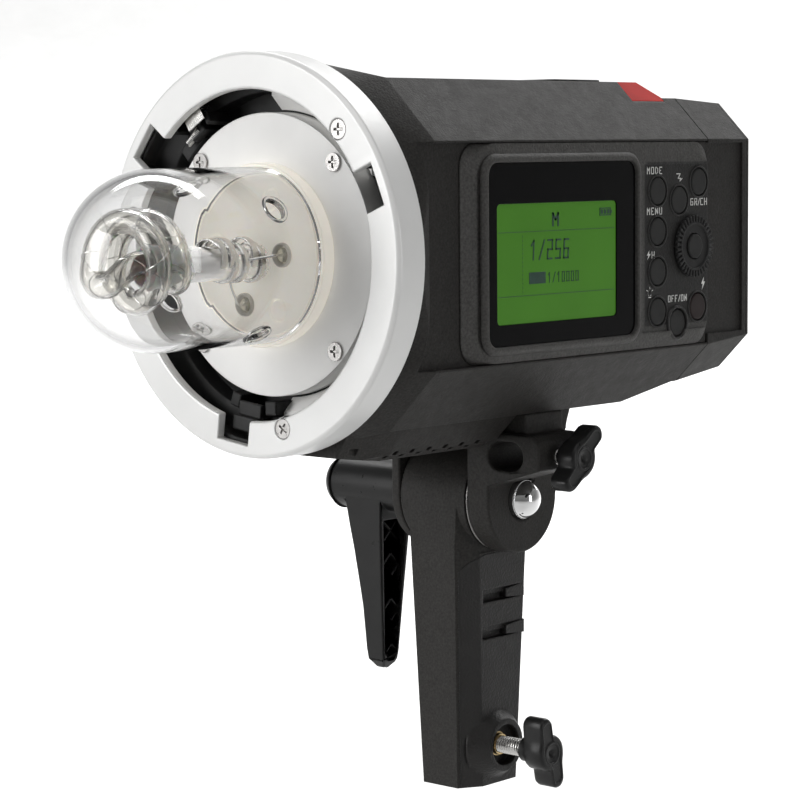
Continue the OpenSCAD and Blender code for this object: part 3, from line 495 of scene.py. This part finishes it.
def weigh_normals(piece):
    piece.modifiers.new("normals", "WEIGHTED_NORMAL").keep_sharp = True


# ---- rounded edges on the CAD shapes ----

# Width of each node's rounded edges, in millimetres
EDGE_WIDTHS = {
    "mount_ring": 0.5, "battery_latch": 0.5, "yoke": 0.8, "tilt_lever": 0.7, "tilt_washers": 0.3,
    "base_collar": 0.5, "bayonet_housing": 0.4, "lock_tab": 0.4, "reflector_plate": 0.3, "tilt_nut": 0.25,
    "display_glass": 0.15, "front_screws": 0.12, "top_plate": 0.3, "case_screws": 0.12, "thread_insert": 0.15,
    "dial": 0.16, "dial_button": 0.5, **{button: 0.7 for button in BUTTONS}, "tilt_bolt": 0.3,
    "electrode_bands": 0.2, "spring_clip": 0.1,
}
# Edges wider than this get one more segment
FINE_EDGE = 0.45

# Nodes whose skin is made of facets: smooth shading up to this angle in degrees
SMOOTH_ANGLES = {
    "body_right": 24, "body_left": 24, "display_bezel": 30, "left_panel": 30, "battery_case": 24,
    "battery_cover": 24, "sensor_window": 24, "handle_body": 24, "grip_cover": 30,
}

# Nodes with another material than the one of their slot
OTHER_LOOKS = {"front_screws": "dark_steel", "display_bezel": "bezel_plastic"}


def softened(node, width):
    """Stands in for a CAD node with the same shape and rounded edges."""
    slot_name = SLOT_OF[node]
    piece = add_piece(node + "_rounded", clean_copy(node, node + "_rounded", merge_flat=True),
                      OTHER_LOOKS.get(node, slot_name), BODY_OF[node], (node,))
    bevel = piece.modifiers.new("edges", "BEVEL")
    bevel.limit_method = "ANGLE"
    bevel.angle_limit = math.radians(25)
    bevel.width = width * MM
    bevel.segments = 3 if width > FINE_EDGE else 2
    bevel.use_clamp_overlap = False
    bevel.harden_normals = False
    weigh_normals(piece)


def smoothed(node, angle):
    """Stands in for a CAD node with the same shape and even shading."""
    mesh = clean_copy(node, node + "_smooth")
    mesh.set_sharp_from_angle(angle=math.radians(angle))
    slot_name = SLOT_OF[node]
    look = OTHER_LOOKS.get(node, slot_name)
    piece = add_piece(node + "_smooth", mesh, look, BODY_OF[node], (node,))
    weigh_normals(piece)


def round_edges():
    for node, width in EDGE_WIDTHS.items():
        softened(node, width)
    for node, angle in SMOOTH_ANGLES.items():
        smoothed(node, angle)


# ---- the lamp: dome, coiled tube, sleeve, stem and wires ----

def pipe(name, route, outer, inner, sides):
    """A hollow tube along a route, with a flat ring at each end."""
    outside = tube_rings(route, outer * MM, sides)
    inside = tube_rings(route, inner * MM, sides)
    points = [p for ring in outside + inside for p in ring]
    rows = len(route)
    faces = []
    for row in range(rows - 1):
        for k in range(sides):
            n = (k + 1) % sides
            a, b, c, d = row * sides + k, row * sides + n, (row + 1) * sides + n, (row + 1) * sides + k
            faces.append((a, b, c, d))
            faces.append(tuple(i + rows * sides for i in (d, c, b, a)))
    for row, order in ((0, -1), (rows - 1, 1)):
        for k in range(sides):
            n = (k + 1) % sides
            corners = (row * sides + k, row * sides + n, (rows + row) * sides + n, (rows + row) * sides + k)
            faces.append(corners[::order])
    return mesh_from(name, points, faces)


# The dome's cooling holes: radius and place along the beam in millimetres, angles from the top in degrees
HOLE_R = 3.6
HOLE_Y = RING_Y / MM - 11
HOLE_ANGLES = [57, 147, 237, 327]
HOLE_STEPS = 48
DOME_WALL = 1.7
# The moulded lip round each hole
LIP_GROW = 0.45
LIP_RISE = 0.1
LIP_R = 0.62


def dome_outline(nose, foot, radius):
    """(y, radius) points from the dome's foot to its nose."""
    centre = nose + radius
    straight_steps = 10
    arc_steps = 24
    straight = [(foot + (centre - foot) * k / straight_steps, radius) for k in range(straight_steps)]
    arc = [(centre - radius * math.sin(a), radius * math.cos(a))
           for a in (math.pi / 2 * k / arc_steps for k in range(arc_steps))]
    return [*straight, *arc, (nose, 0)]


def hole_drill(angle):
    """A cylinder that cuts one cooling hole."""
    a = math.radians(angle)
    out = Vector((math.sin(a), 0, math.cos(a)))
    side = Vector((math.cos(a), 0, -math.sin(a)))
    along = Vector((0, 1, 0))
    rings = []
    for reach in (20, 32):
        place = from_beam(0, HOLE_Y, 0) + out * reach * MM
        rings.append([place + HOLE_R * MM * (math.cos(t) * side + math.sin(t) * along)
                      for t in (2 * math.pi * k / HOLE_STEPS for k in range(HOLE_STEPS))])
    drill = bpy.data.objects.new("drill", loft("drill", rings))
    bpy.context.scene.collection.objects.link(drill)
    return drill


def lip_route(angle, dome_r):
    """A closed line round one cooling hole, just outside the dome's skin."""
    lip_r = HOLE_R + LIP_GROW
    height = dome_r + LIP_RISE
    route = []
    for k in range(HOLE_STEPS + 1):
        t = 2 * math.pi * k / HOLE_STEPS
        swing = math.radians(angle) + lip_r * math.cos(t) / dome_r
        y = HOLE_Y + lip_r * math.sin(t)
        route.append(from_beam(height * math.sin(swing), y, height * math.cos(swing)))
    return route


def make_dome():
    """The thin glass dome, hollow, with its cooling holes cut through."""
    low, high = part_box("glass_dome")
    radius = (high.x - low.x) / 2 / MM
    nose, foot = low.y / MM, high.y / MM
    outer = dome_outline(nose, foot, radius)
    inner = dome_outline(nose + DOME_WALL, foot, radius - DOME_WALL)
    mesh = beam_lathe("dome", [*outer, *inner[::-1], outer[0]], 144)
    bm = bmesh.new()
    bm.from_mesh(mesh)
    bmesh.ops.remove_doubles(bm, verts=bm.verts, dist=1e-7)
    bmesh.ops.recalc_face_normals(bm, faces=bm.faces)
    bm.to_mesh(mesh)
    bm.free()
    blank = bpy.data.objects.new("dome_blank", mesh)
    bpy.context.scene.collection.objects.link(blank)
    drills = [hole_drill(angle) for angle in HOLE_ANGLES]
    for drill in drills:
        cut = blank.modifiers.new("hole", "BOOLEAN")
        cut.operation = "DIFFERENCE"
        cut.solver = "EXACT"
        cut.object = drill
    bpy.context.view_layer.update()
    cut_glass = blank.evaluated_get(bpy.context.evaluated_depsgraph_get())
    final = bpy.data.meshes.new_from_object(cut_glass)
    for extra in (blank, *drills):
        bpy.data.objects.remove(extra)
    final.shade_smooth()
    final.set_sharp_from_angle(angle=math.radians(35))
    add_piece("dome_shell", final, "dome_glass", "head", ("glass_dome",))
    for number, angle in enumerate(HOLE_ANGLES):
        lip = tube("lip", lip_route(angle, radius), LIP_R * MM, 12)
        add_piece("dome_lip_%d" % number, lip, "dome_glass", "head")


def coil_route():
    """Centre line of the coiled tube: up beside the stem, round the coil, and back down the middle."""
    y = RING_Y / MM
    start = y - 40.5
    pitch = 7.6
    turns = 1.5
    coil_r = 12
    per_turn = 16
    end = start - pitch * turns
    points = [(4.2, y - 30, -3), (4.6, y - 33, -4), (7.4, y - 38, -6), (10.8, start + 1, -4.6)]
    points += [(coil_r * math.cos(a), start - pitch * a / (2 * math.pi), coil_r * math.sin(a))
               for a in (2 * math.pi * k / per_turn for k in range(int(per_turn * turns) + 1))]
    points += [(-11, end - 1.4, -4.4), (-7.4, end - 2, -7), (-3, end - 1.4, -6), (-1, end + 1.6, -3),
               (0, end + 6, -0.6), (0, start, 0), (0, y - 33.5, 2)]
    return smooth_route([from_beam(*p) for p in points], 5)


def make_coil():
    """The coiled tube, with its fine trigger wire wound round it."""
    outer, inner = 3.7, 2.75
    wire_turn = 0.5
    wire_gap = 0.15
    wire_r = 0.16
    route = coil_route()
    add_piece("coil_glass", pipe("coil_glass", route, outer, inner, 24), "tube_glass", "head",
              ("flash_tube",))
    wire = []
    for k, (point, u, v) in enumerate(carried_frames(route)[6:-4]):
        a = k * wire_turn
        wire.append(point + (outer + wire_gap) * MM * (math.cos(a) * u + math.sin(a) * v))
    winding = tube("trigger_wire", smooth_route(wire, 4), wire_r * MM, 6)
    add_piece("trigger_wire", winding, "steel", "head")


def make_stem():
    """The white sleeve, the glass stem, the electrode in it and its bands, on one line below the beam."""
    y = RING_Y / MM
    line = (0, -1.8)
    sleeve_r = 6.5
    stem_r = 5.4
    core_r = 4.1
    sleeve = [(y - 43, stem_r), (y - 43, 5.8), (y - 42.5, 6.3), (y - 42, sleeve_r), (y - 29.6, sleeve_r),
              (y - 28.8, 6.2), (y - 28.4, 5.5), (y - 28.4, stem_r), (y - 43, stem_r)]
    add_piece("stem_sleeve", beam_lathe("stem_sleeve", sleeve, 96, line), "white_sleeve", "head")
    stem = [(y - 28.6, stem_r - 1), (y - 28.6, stem_r), (y + 3.6, stem_r), (y + 3.6, stem_r - 1),
            (y - 28.6, stem_r - 1)]
    add_piece("stem_glass", beam_lathe("stem_glass", stem, 96, line), "tube_glass", "head",
              ("tube_stem",))
    core = [(y - 11.5, 0), (y - 11.5, 3.2), (y - 10.8, core_r), (y + 2.6, core_r), (y + 3.2, 3.4),
            (y + 3.2, 0)]
    add_piece("electrode_core", beam_lathe("electrode_core", core, 48, line), "electrode_dark", "head")
    pin = [(y - 17.5, 0), (y - 17.5, 1.3), (y - 16.8, 1.6), (y - 14.2, 1.6), (y - 14, 1), (y - 11.4, 1),
           (y - 11.4, 0)]
    add_piece("electrode_pin", beam_lathe("electrode_pin", pin, 32, line), "electrode_dark", "head")
    half = 1.1
    for number, (offset, r) in enumerate(((-11.0, 5.62), (-6.6, 5.62), (0.4, 5.8))):
        place = y + offset
        band = [(place - half, r - 0.15), (place - half, r + 0.3), (place - 0.8, r + 0.55),
                (place + 0.8, r + 0.55), (place + half, r + 0.3), (place + half, r - 0.15),
                (place - half, r - 0.15)]
        add_piece("stem_band_%d" % number, beam_lathe("band", band, 64, line), "steel", "head")


def make_lead_wires():
    """The rims of the two cups in the lamp's foot, and a bare wire from each to the stem."""
    foot = RING_Y / MM + 4.6
    wire_r = 0.42
    # Each wire's ends as (x, z) from the beam axis: in its cup, and at the stem
    wire_ends = [((-5.5, -15.4), (-2.5, -7.2)), ((10.7, 0.4), (5.9, -0.8))]
    rim = [(foot - 0.8, 2.5), (foot - 1.6, 2.9), (foot - 1.9, 3.3), (foot - 1.6, 3.7), (foot + 0.4, 3.9),
           (foot + 0.4, 2.6), (foot - 0.8, 2.5)]
    for number, ((cx, cz), (ex, ez)) in enumerate(wire_ends):
        add_piece("cup_rim_%d" % number, beam_lathe("rim", rim, 48, (cx, cz)), "ceramic", "head")
        points = [from_beam(*q) for q in (
            (cx, foot + 0.5, cz), (cx, foot - 3.6, cz), ((cx * 2 + ex) / 3, foot - 6.2, (cz * 2 + ez) / 3),
            ((cx + ex * 2) / 3, foot - 8.6, (cz + ez * 2) / 3), (ex, foot - 10.4, ez))]
        lead = tube("lead", smooth_route(points, 8), wire_r * MM, 10)
        add_piece("lead_wire_%d" % number, lead, "steel", "head")


# ---- black fittings inside the ring ----

def ring_block(name, angle, radial, across, depth, tilt=0.0, bend=0.0):
    """A wedge-like block in the ring's throat. radial, across and depth are (low, high) in millimetres:
    distance from the beam axis, sideways, and back from the ring's face. Towards the back, the block moves
    out by tilt, and its inner and outer sides slide sideways by bend, in opposite directions."""
    a = math.radians(angle)
    out = Vector((math.cos(a), 0, math.sin(a)))
    side = Vector((-math.sin(a), 0, math.cos(a)))
    back = Vector((0, 1, 0))
    origin = Vector((0, RING_Y, BEAM_Z))
    soft = 0.35
    rings = []
    for d, inset in ((depth[0], soft), (depth[0] + soft, 0), (depth[1] - soft, 0), (depth[1], soft)):
        share = (d - depth[0]) / (depth[1] - depth[0])
        lift = tilt * share
        corners = [(radial[0] + inset + lift, across[0] + inset + bend * share),
                   (radial[0] + inset + lift, across[1] - inset + bend * share),
                   (radial[1] - inset + lift, across[1] - inset - bend * share),
                   (radial[1] - inset + lift, across[0] + inset - bend * share)]
        rings.append([origin + (out * r + side * c + back * d) * MM for r, c in corners])
    add_piece(name, loft(name, rings), "black_plastic", "head")


def make_ring_fittings():
    """Spring bracket at the upper left notch and guides by the lock tab."""
    ring_block("bracket_base", 134, (45.2, 49.8), (-5.5, 5.5), (9.5, 16.5))
    ring_block("bracket_arm", 126, (45.6, 49.6), (-3.2, 3.2), (6.5, 15), 0.6, bend=0.8)
    ring_block("bracket_rib", 118, (46.4, 49.8), (-1.1, 1.1), (5.5, 15.5), -0.4)
    ring_block("tab_guide_left", 253, (45.4, 49.8), (-2, 2), (8, 16.6))
    ring_block("tab_guide_right", 271.5, (45.4, 49.8), (-2.4, 2.4), (8, 16.6), bend=0.4)
    a = math.radians(129)
    out = Vector((math.cos(a), 0, math.sin(a)))
    side = Vector((-math.sin(a), 0, math.cos(a)))
    back = Vector((0, 1, 0))
    origin = Vector((0, RING_Y, BEAM_Z)) + (out * 47.4 + back * 7.4) * MM
    spring_r = 1.15
    pitch = 0.62
    per_turn = 12
    length = 7.2
    spring = []
    for k in range(140):
        t = 2 * math.pi * k / per_turn
        spring.append(origin + (side * (k / per_turn * pitch - length / 2) + out * spring_r * math.cos(t)
                                + back * spring_r * math.sin(t)) * MM)
    add_piece("bracket_spring", tube("bracket_spring", spring, 0.24 * MM, 8), "steel", "head")


# ---- wing knobs and screw threads ----

def knob_outline(steps):
    """Radius of the winged outline at each angle: a hub and two rounded wings, blended smoothly."""
    hub_r = 6.1
    wing_r = 2.9
    wing_start = 2
    wing_length = 7.6
    wing_offset = 2.5
    blend = 1.6
    widest = 16.0

    def distance(px, pz):
        hub = math.hypot(px, pz) - hub_r
        wings = []
        for s in (-1, 1):
            t = min(1, max(0, (pz * s - wing_start) / wing_length))
            wings.append(math.hypot(px + s * wing_offset, pz - s * (wing_start + wing_length * t)) - wing_r)
        wing = min(wings)
        h = max(0, min(1, 0.5 + 0.5 * (wing - hub) / blend))
        return wing * (1 - h) + hub * h - blend * h * (1 - h)

    radii = []
    for n in range(steps):
        a = 2 * math.pi * n / steps
        low, high = 2.0, widest
        for _ in range(26):
            mid = (low + high) / 2
            inside = distance(mid * math.cos(a), mid * math.sin(a)) < 0
            low, high = (mid, high) if inside else (low, mid)
        radii.append(low)
    return radii


def make_knob(name, node, collar, place, turn):
    """A moulded wing knob on the +X side. Its height runs along X from the mouth of a collar, which is
    collar millimetres long, to the outer face; place is the screw's middle, and turn the wings' angle."""
    low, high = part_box(node)
    steps = 128
    outline = knob_outline(steps)
    spin = math.radians(turn)
    edge = 1.1
    top = (high.x - low.x) / MM
    # Rows of (height, inset from the winged outline, radius where the row is round)
    profile = [(0, 0, 3.4), (0, 0, 3.9), (0.35, 0, 4.2), (collar - 0.5, 0, 4.2), (collar, 0, 4.5),
               (collar, 2.6, 0), (collar, edge, 0), (collar + 0.3, 0.45, 0), (collar + edge, 0, 0),
               (top - edge, 0, 0), (top - 0.45, 0.3, 0), (top - 0.1, 0.8, 0), (top, 1.3, 0),
               (top - 0.05, 1.9, 0), (top - 0.4, 2.15, 0), (top - 0.45, 2.8, 0), (top - 0.4, 0, 4.1),
               (top - 0.05, 0, 3.8), (top - 0.05, 0, 3.3), (top - 0.5, 0, 3.0), (top - 0.55, 0, 1.7),
               (top - 0.9, 0, 1.2), (top - 1.6, 0, 0.3)]
    narrowest = 3
    rings = []
    for height, inset, round_r in profile:
        ring = []
        for k, r in enumerate(outline):
            a = 2 * math.pi * k / steps
            radius = round_r if round_r else max(r - inset, narrowest)
            px, pz = radius * math.cos(a), radius * math.sin(a)
            ring.append(Vector((low.x / MM + height, place.y + px * math.cos(spin) - pz * math.sin(spin),
                                place.z + px * math.sin(spin) + pz * math.cos(spin))) * MM)
        rings.append(ring)
    add_piece(name, loft(name, rings), "knob_black", BODY_OF[node], (node,))


def make_thread(name, node, place):
    """An M6-like screw thread along X, in place of a plain screw."""
    core = 2.45
    crest = 2.95
    pitch = 1
    sides = 32
    per_turn = 16
    # The crest is a narrow band of each turn and fades out at both ends
    narrow = 2.6
    fade_length = 0.6
    low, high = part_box(node)
    x0, x1 = low.x / MM, high.x / MM
    rows = int((x1 - x0) / pitch * per_turn)
    rings = []
    for row in range(rows + 1):
        x = x0 + (x1 - x0) * row / rows
        fade = min(1, (x - x0) / fade_length, (x1 - x) / fade_length)
        ring = []
        for k in range(sides):
            turn = (x / pitch - k / sides) % 1
            height = max(0, 1 - abs(turn - 0.5) * narrow)
            r = core + (crest - core) * height * fade
            a = 2 * math.pi * k / sides
            ring.append(Vector((x, place.y + r * math.cos(a), place.z + r * math.sin(a))) * MM)
        rings.append(ring)
    add_piece(name, loft(name, rings), "steel", BODY_OF[node], (node,))


def make_knobs():
    for kind, collar, turn in (("stand", 3.6, 4), ("umbrella", 1.5, -57)):
        place = middle(kind + "_screw") / MM
        make_thread(kind + "_thread", kind + "_screw", place)
        make_knob(kind + "_wing", kind + "_knob", collar, place, turn)


# ---- flat marks on the control panel ----

# Strokes of each sign on a grid of three columns and five rows, lettered a to o from the top left
SIGNS = {
    "M": "mahco", "O": "acoma", "D": "abflnma", "E": "camo gh", "N": "maoc", "U": "amoc", "F": "cam gh",
    "G": "camoih", "R": "macig ho", "C": "camo", "H": "am co gi", "/": "cm", "1": "db bn", "2": "acigmo",
    "5": "cagiom", "6": "camoig", "0": "acoma",
}


class Marks:
    """Thin flat marks on a plane of constant x; points are (y, height above the beam axis) in mm."""

    def __init__(self):
        self.points, self.faces = [], []

    def polygon(self, corners):
        start = len(self.points)
        self.points += corners
        self.faces.append(tuple(range(start, start + len(corners))))

    def line(self, ends, width):
        for (y0, z0), (y1, z1) in zip(ends, ends[1:]):
            length = math.hypot(y1 - y0, z1 - z0) or 1
            dy, dz = (y1 - y0) / length * width / 2, (z1 - z0) / length * width / 2
            self.polygon([(y0 - dy + dz, z0 - dz - dy), (y1 + dy + dz, z1 + dz - dy),
                          (y1 + dy - dz, z1 + dz + dy), (y0 - dy - dz, z0 - dz + dy)])

    def box(self, y, z, wide, high):
        self.polygon([(y, z), (y + wide, z), (y + wide, z + high), (y, z + high)])

    def arc(self, y, z, radius, width, first, last):
        """A part of a circle between two angles in degrees."""
        steps = 24
        ends = [(y + radius * math.cos(math.radians(a)), z + radius * math.sin(math.radians(a)))
                for a in (first + (last - first) * k / steps for k in range(steps + 1))]
        self.line(ends, width)

    def text(self, words, y, z, high, wide, step, width, slant=0.0):
        for n, letter in enumerate(words):
            for stroke in SIGNS.get(letter, "").split():
                ends = []
                for point in stroke:
                    index = ord(point) - ord("a")
                    up = (4 - index // 3) / 4 * high
                    ends.append((y + n * step + (index % 3) / 2 * wide + slant * up, z + up))
                self.line(ends, width)

    def place(self, name, x, material, slot_name, thick=0.06):
        count = len(self.points)
        points = [Vector((x + t, y, BEAM_Z / MM + z)) * MM for t in (0, thick) for y, z in self.points]
        faces = []
        for face in self.faces:
            faces.append(tuple(i + count for i in face))
            faces.append(tuple(face[::-1]))
            for a, b in zip(face, (*face[1:], face[0])):
                faces.append((a, b, b + count, a + count))
        add_piece(name, mesh_from(name, points, faces, False), material, "head")


def make_labels():
    marks = Marks()
    high, wide, step, pen = 2.1, 1.25, 2.25, 0.3
    marks.text("MODE", 23.8, 23.4, high, wide, step, pen)
    marks.text("MENU", 23.8, 10.1, high, wide, step, pen)
    # A flash and a letter
    marks.text("H", 26.4, -4.3, high, wide, step, pen)
    marks.polygon([(24.9, -1.7), (23.6, -3.3), (24.5, -3.3), (23.9, -4.7), (25.6, -2.8), (24.7, -2.8)])
    # The lamp sign: a bulb, its cap and three rays
    bulb_y, bulb_z, bulb_r = 25.2, -15.7, 0.95
    marks.arc(bulb_y, bulb_z, bulb_r, pen, -50, 230)
    marks.line([(bulb_y - 0.6, bulb_z - 1.4), (bulb_y + 0.6, bulb_z - 1.4)], pen)
    for a in (math.radians(angle) for angle in (30, 90, 150)):
        marks.line([(bulb_y + r * math.cos(a), bulb_z + r * math.sin(a)) for r in (1.4, 1.9)], pen * 0.8)
    # The sync sign: a bent line with an arrow's end
    marks.line([(40.2, 23.2), (42.2, 23.2), (41, 21.7), (42.4, 21.7)], pen)
    marks.line([(42.4, 21.7), (42, 20.8), (43.2, 21.6)], pen)
    marks.text("GR", 48.2, 12.7, high, wide, step, pen)
    marks.text("/", 52.4, 12.7, high, 0.9, step, pen)
    marks.text("CH", 53.9, 12.7, high, wide, step, pen)
    marks.text("OFF", 35.6, -19.1, high * 0.95, wide * 0.85, step * 0.86, pen)
    marks.text("/", 41.4, -19.1, high * 0.95, 0.8, step, pen)
    marks.text("ON", 42.9, -19.1, high * 0.95, wide * 0.85, step * 0.86, pen)
    # A larger flash above the test button
    marks.polygon([(55.9, -11.6), (54.4, -13.9), (55.3, -13.9), (54.7, -16), (56.6, -13.2), (55.6, -13.2)])
    marks.place("panel_marks", FIELD_X, "label_white", "panel_plastic")


def make_readout():
    corner_low, corner_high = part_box("lcd_panel")
    margin = 1
    x = corner_high.x / MM
    left, right = corner_low.y / MM + margin, corner_high.y / MM - margin
    low, high = (corner_low.z - BEAM_Z) / MM + margin, (corner_high.z - BEAM_Z) / MM - margin
    wide = right - left
    faint = Marks()
    faint.box(left + 0.8, high - 8.8, wide - 1.6, 0.22)
    faint.box(left + 0.8, low + 8.4, wide - 1.6, 0.22)
    for k in range(14):
        faint.box(left + 12.6, low + 9.4 + k * 1.32, 0.26, 0.66)
    faint.place("readout_faint", x, "lcd_faint", "lcd_green")
    ink = Marks()
    ink.text("M", left + 27.8, high - 7, 3.6, 2.6, 3.4, 0.8)
    ink.text("1/256", left + 16.8, low + 19.6, 5.8, 2.2, 4.1, 0.58, 0.06)
    # The battery sign at the top right
    ink.line([(right - 8.4, high - 4.5), (right - 2.8, high - 4.5), (right - 2.8, high - 2.3),
              (right - 8.4, high - 2.3), (right - 8.4, high - 4.5)], 0.34)
    ink.box(right - 2.6, high - 3.9, 0.5, 1)
    for k in range(3):
        ink.box(right - 7.9 + 1.7 * k, high - 4.1, 1.2, 1.4)
    # A small boxed sign and a small line of digits below
    ink.box(left + 15.8, low + 12, 8.2, 3.6)
    ink.text("1/10000", left + 25.4, low + 12.2, 3, 1.15, 2.35, 0.3)
    ink.place("readout_ink", x, "lcd_ink", "lcd_green", thick=0.1)


def rounded_loop(low, high, radius):
    """Points of a rounded rectangle between two (y, height) corners."""
    per_corner = 8
    loop = []
    for n, (cy, cz) in enumerate(((high[0] - radius, high[1] - radius), (low[0] + radius, high[1] - radius),
                                  (low[0] + radius, low[1] + radius), (high[0] - radius, low[1] + radius))):
        for k in range(per_corner + 1):
            a = math.pi / 2 * (n + k / per_corner)
            loop.append((cy + radius * math.cos(a), cz + radius * math.sin(a)))
    return loop


def make_glass_frame():
    """A raised lip round the display glass."""
    glass_low, glass_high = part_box("display_glass")
    low = (glass_low.y / MM, (glass_low.z - BEAM_Z) / MM)
    high = (glass_high.y / MM, (glass_high.z - BEAM_Z) / MM)
    corner_r = 4
    face = glass_high.x / MM
    rings = []
    for x, grow in ((face - 0.8, 0.05), (face + 0.7, 0.05), (face + 1.1, 0.3), (face + 1.25, 0.8),
                    (face + 1.1, 1.5), (face + 0.4, 2.6), (face - 0.3, 2.9)):
        loop = rounded_loop((low[0] - grow, low[1] - grow), (high[0] + grow, high[1] + grow), corner_r + grow)
        rings.append([Vector((x, y, BEAM_Z / MM + z)) * MM for y, z in loop])
    rings.append(rings[0])
    add_piece("glass_lip", loft("glass_lip", rings, False), "bezel_plastic", "head")


def x_box(name, x, y, z, material):
    """A box on the head between (low, high) pairs in millimetres, z from the beam axis. Its outer edge is
    softened."""
    soft = 0.3
    rings = []
    for level, inset in ((x[0], 0), (x[1] - soft, 0), (x[1], soft)):
        rings.append([Vector((level, a, BEAM_Z / MM + b)) * MM
                      for a, b in ((y[0] + inset, z[0] + inset), (y[1] - inset, z[0] + inset),
                                   (y[1] - inset, z[1] - inset), (y[0] + inset, z[1] - inset))])
    add_piece(name, loft(name, rings), material, "head")


def fill_panel_corners():
    """Closes the gaps behind the rounded rear corners of the display panel."""
    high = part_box("display_bezel")[1]
    rear = high.y / MM
    top = (high.z - BEAM_Z) / MM + 0.1
    deep = (54.6, 56.9)
    length = 8
    tall = 3.4
    for name, z in (("panel_corner_top", (top - tall, top)), ("panel_corner_bottom", (-top, tall - top))):
        x_box(name, deep, (rear - length, rear), z, "body_plastic")


def add_collar(name, button, profile):
    """Turns (x, radius) points in millimetres about a button's own line along X."""
    place = middle(button) / MM
    steps = 64
    rings = [[Vector((x, place.y + r * math.cos(a), place.z + r * math.sin(a))) * MM
              for a in (2 * math.pi * k / steps for k in range(steps))] for x, r in profile]
    add_piece(name, loft(name, rings, False), "panel_plastic", "head")


def make_button_rims():
    """A collar round the power button and a fine rim round each of the others."""
    hole_r = 4.85
    for button in BUTTONS:
        if button != "power_button":
            add_collar(button + "_rim", button, [
                (FIELD_X - 0.05, hole_r), (FIELD_X + 0.25, hole_r + 0.1), (FIELD_X + 0.3, hole_r + 0.35),
                (FIELD_X + 0.2, hole_r + 0.6), (FIELD_X - 0.05, hole_r + 0.65), (FIELD_X - 0.05, hole_r)])
    add_collar("power_collar", "power_button", [
        (FIELD_X - 0.7, hole_r), (FIELD_X + 0.5, 4.9), (FIELD_X + 0.75, 5.1), (FIELD_X + 0.75, 5.5),
        (FIELD_X + 0.4, 5.85), (FIELD_X - 0.4, 6.0), (FIELD_X - 0.7, 6.0), (FIELD_X - 0.7, hole_r)])


make_camera()
make_stage()
make_lights()
bpy.context.scene.view_settings.view_transform = "Standard"
MATERIALS = make_materials()
paint_nodes()
round_edges()
make_dome()
make_coil()
make_stem()
make_lead_wires()
make_knobs()
make_labels()
make_readout()
make_button_rims()
make_glass_frame()
fill_panel_corners()
make_ring_fittings()
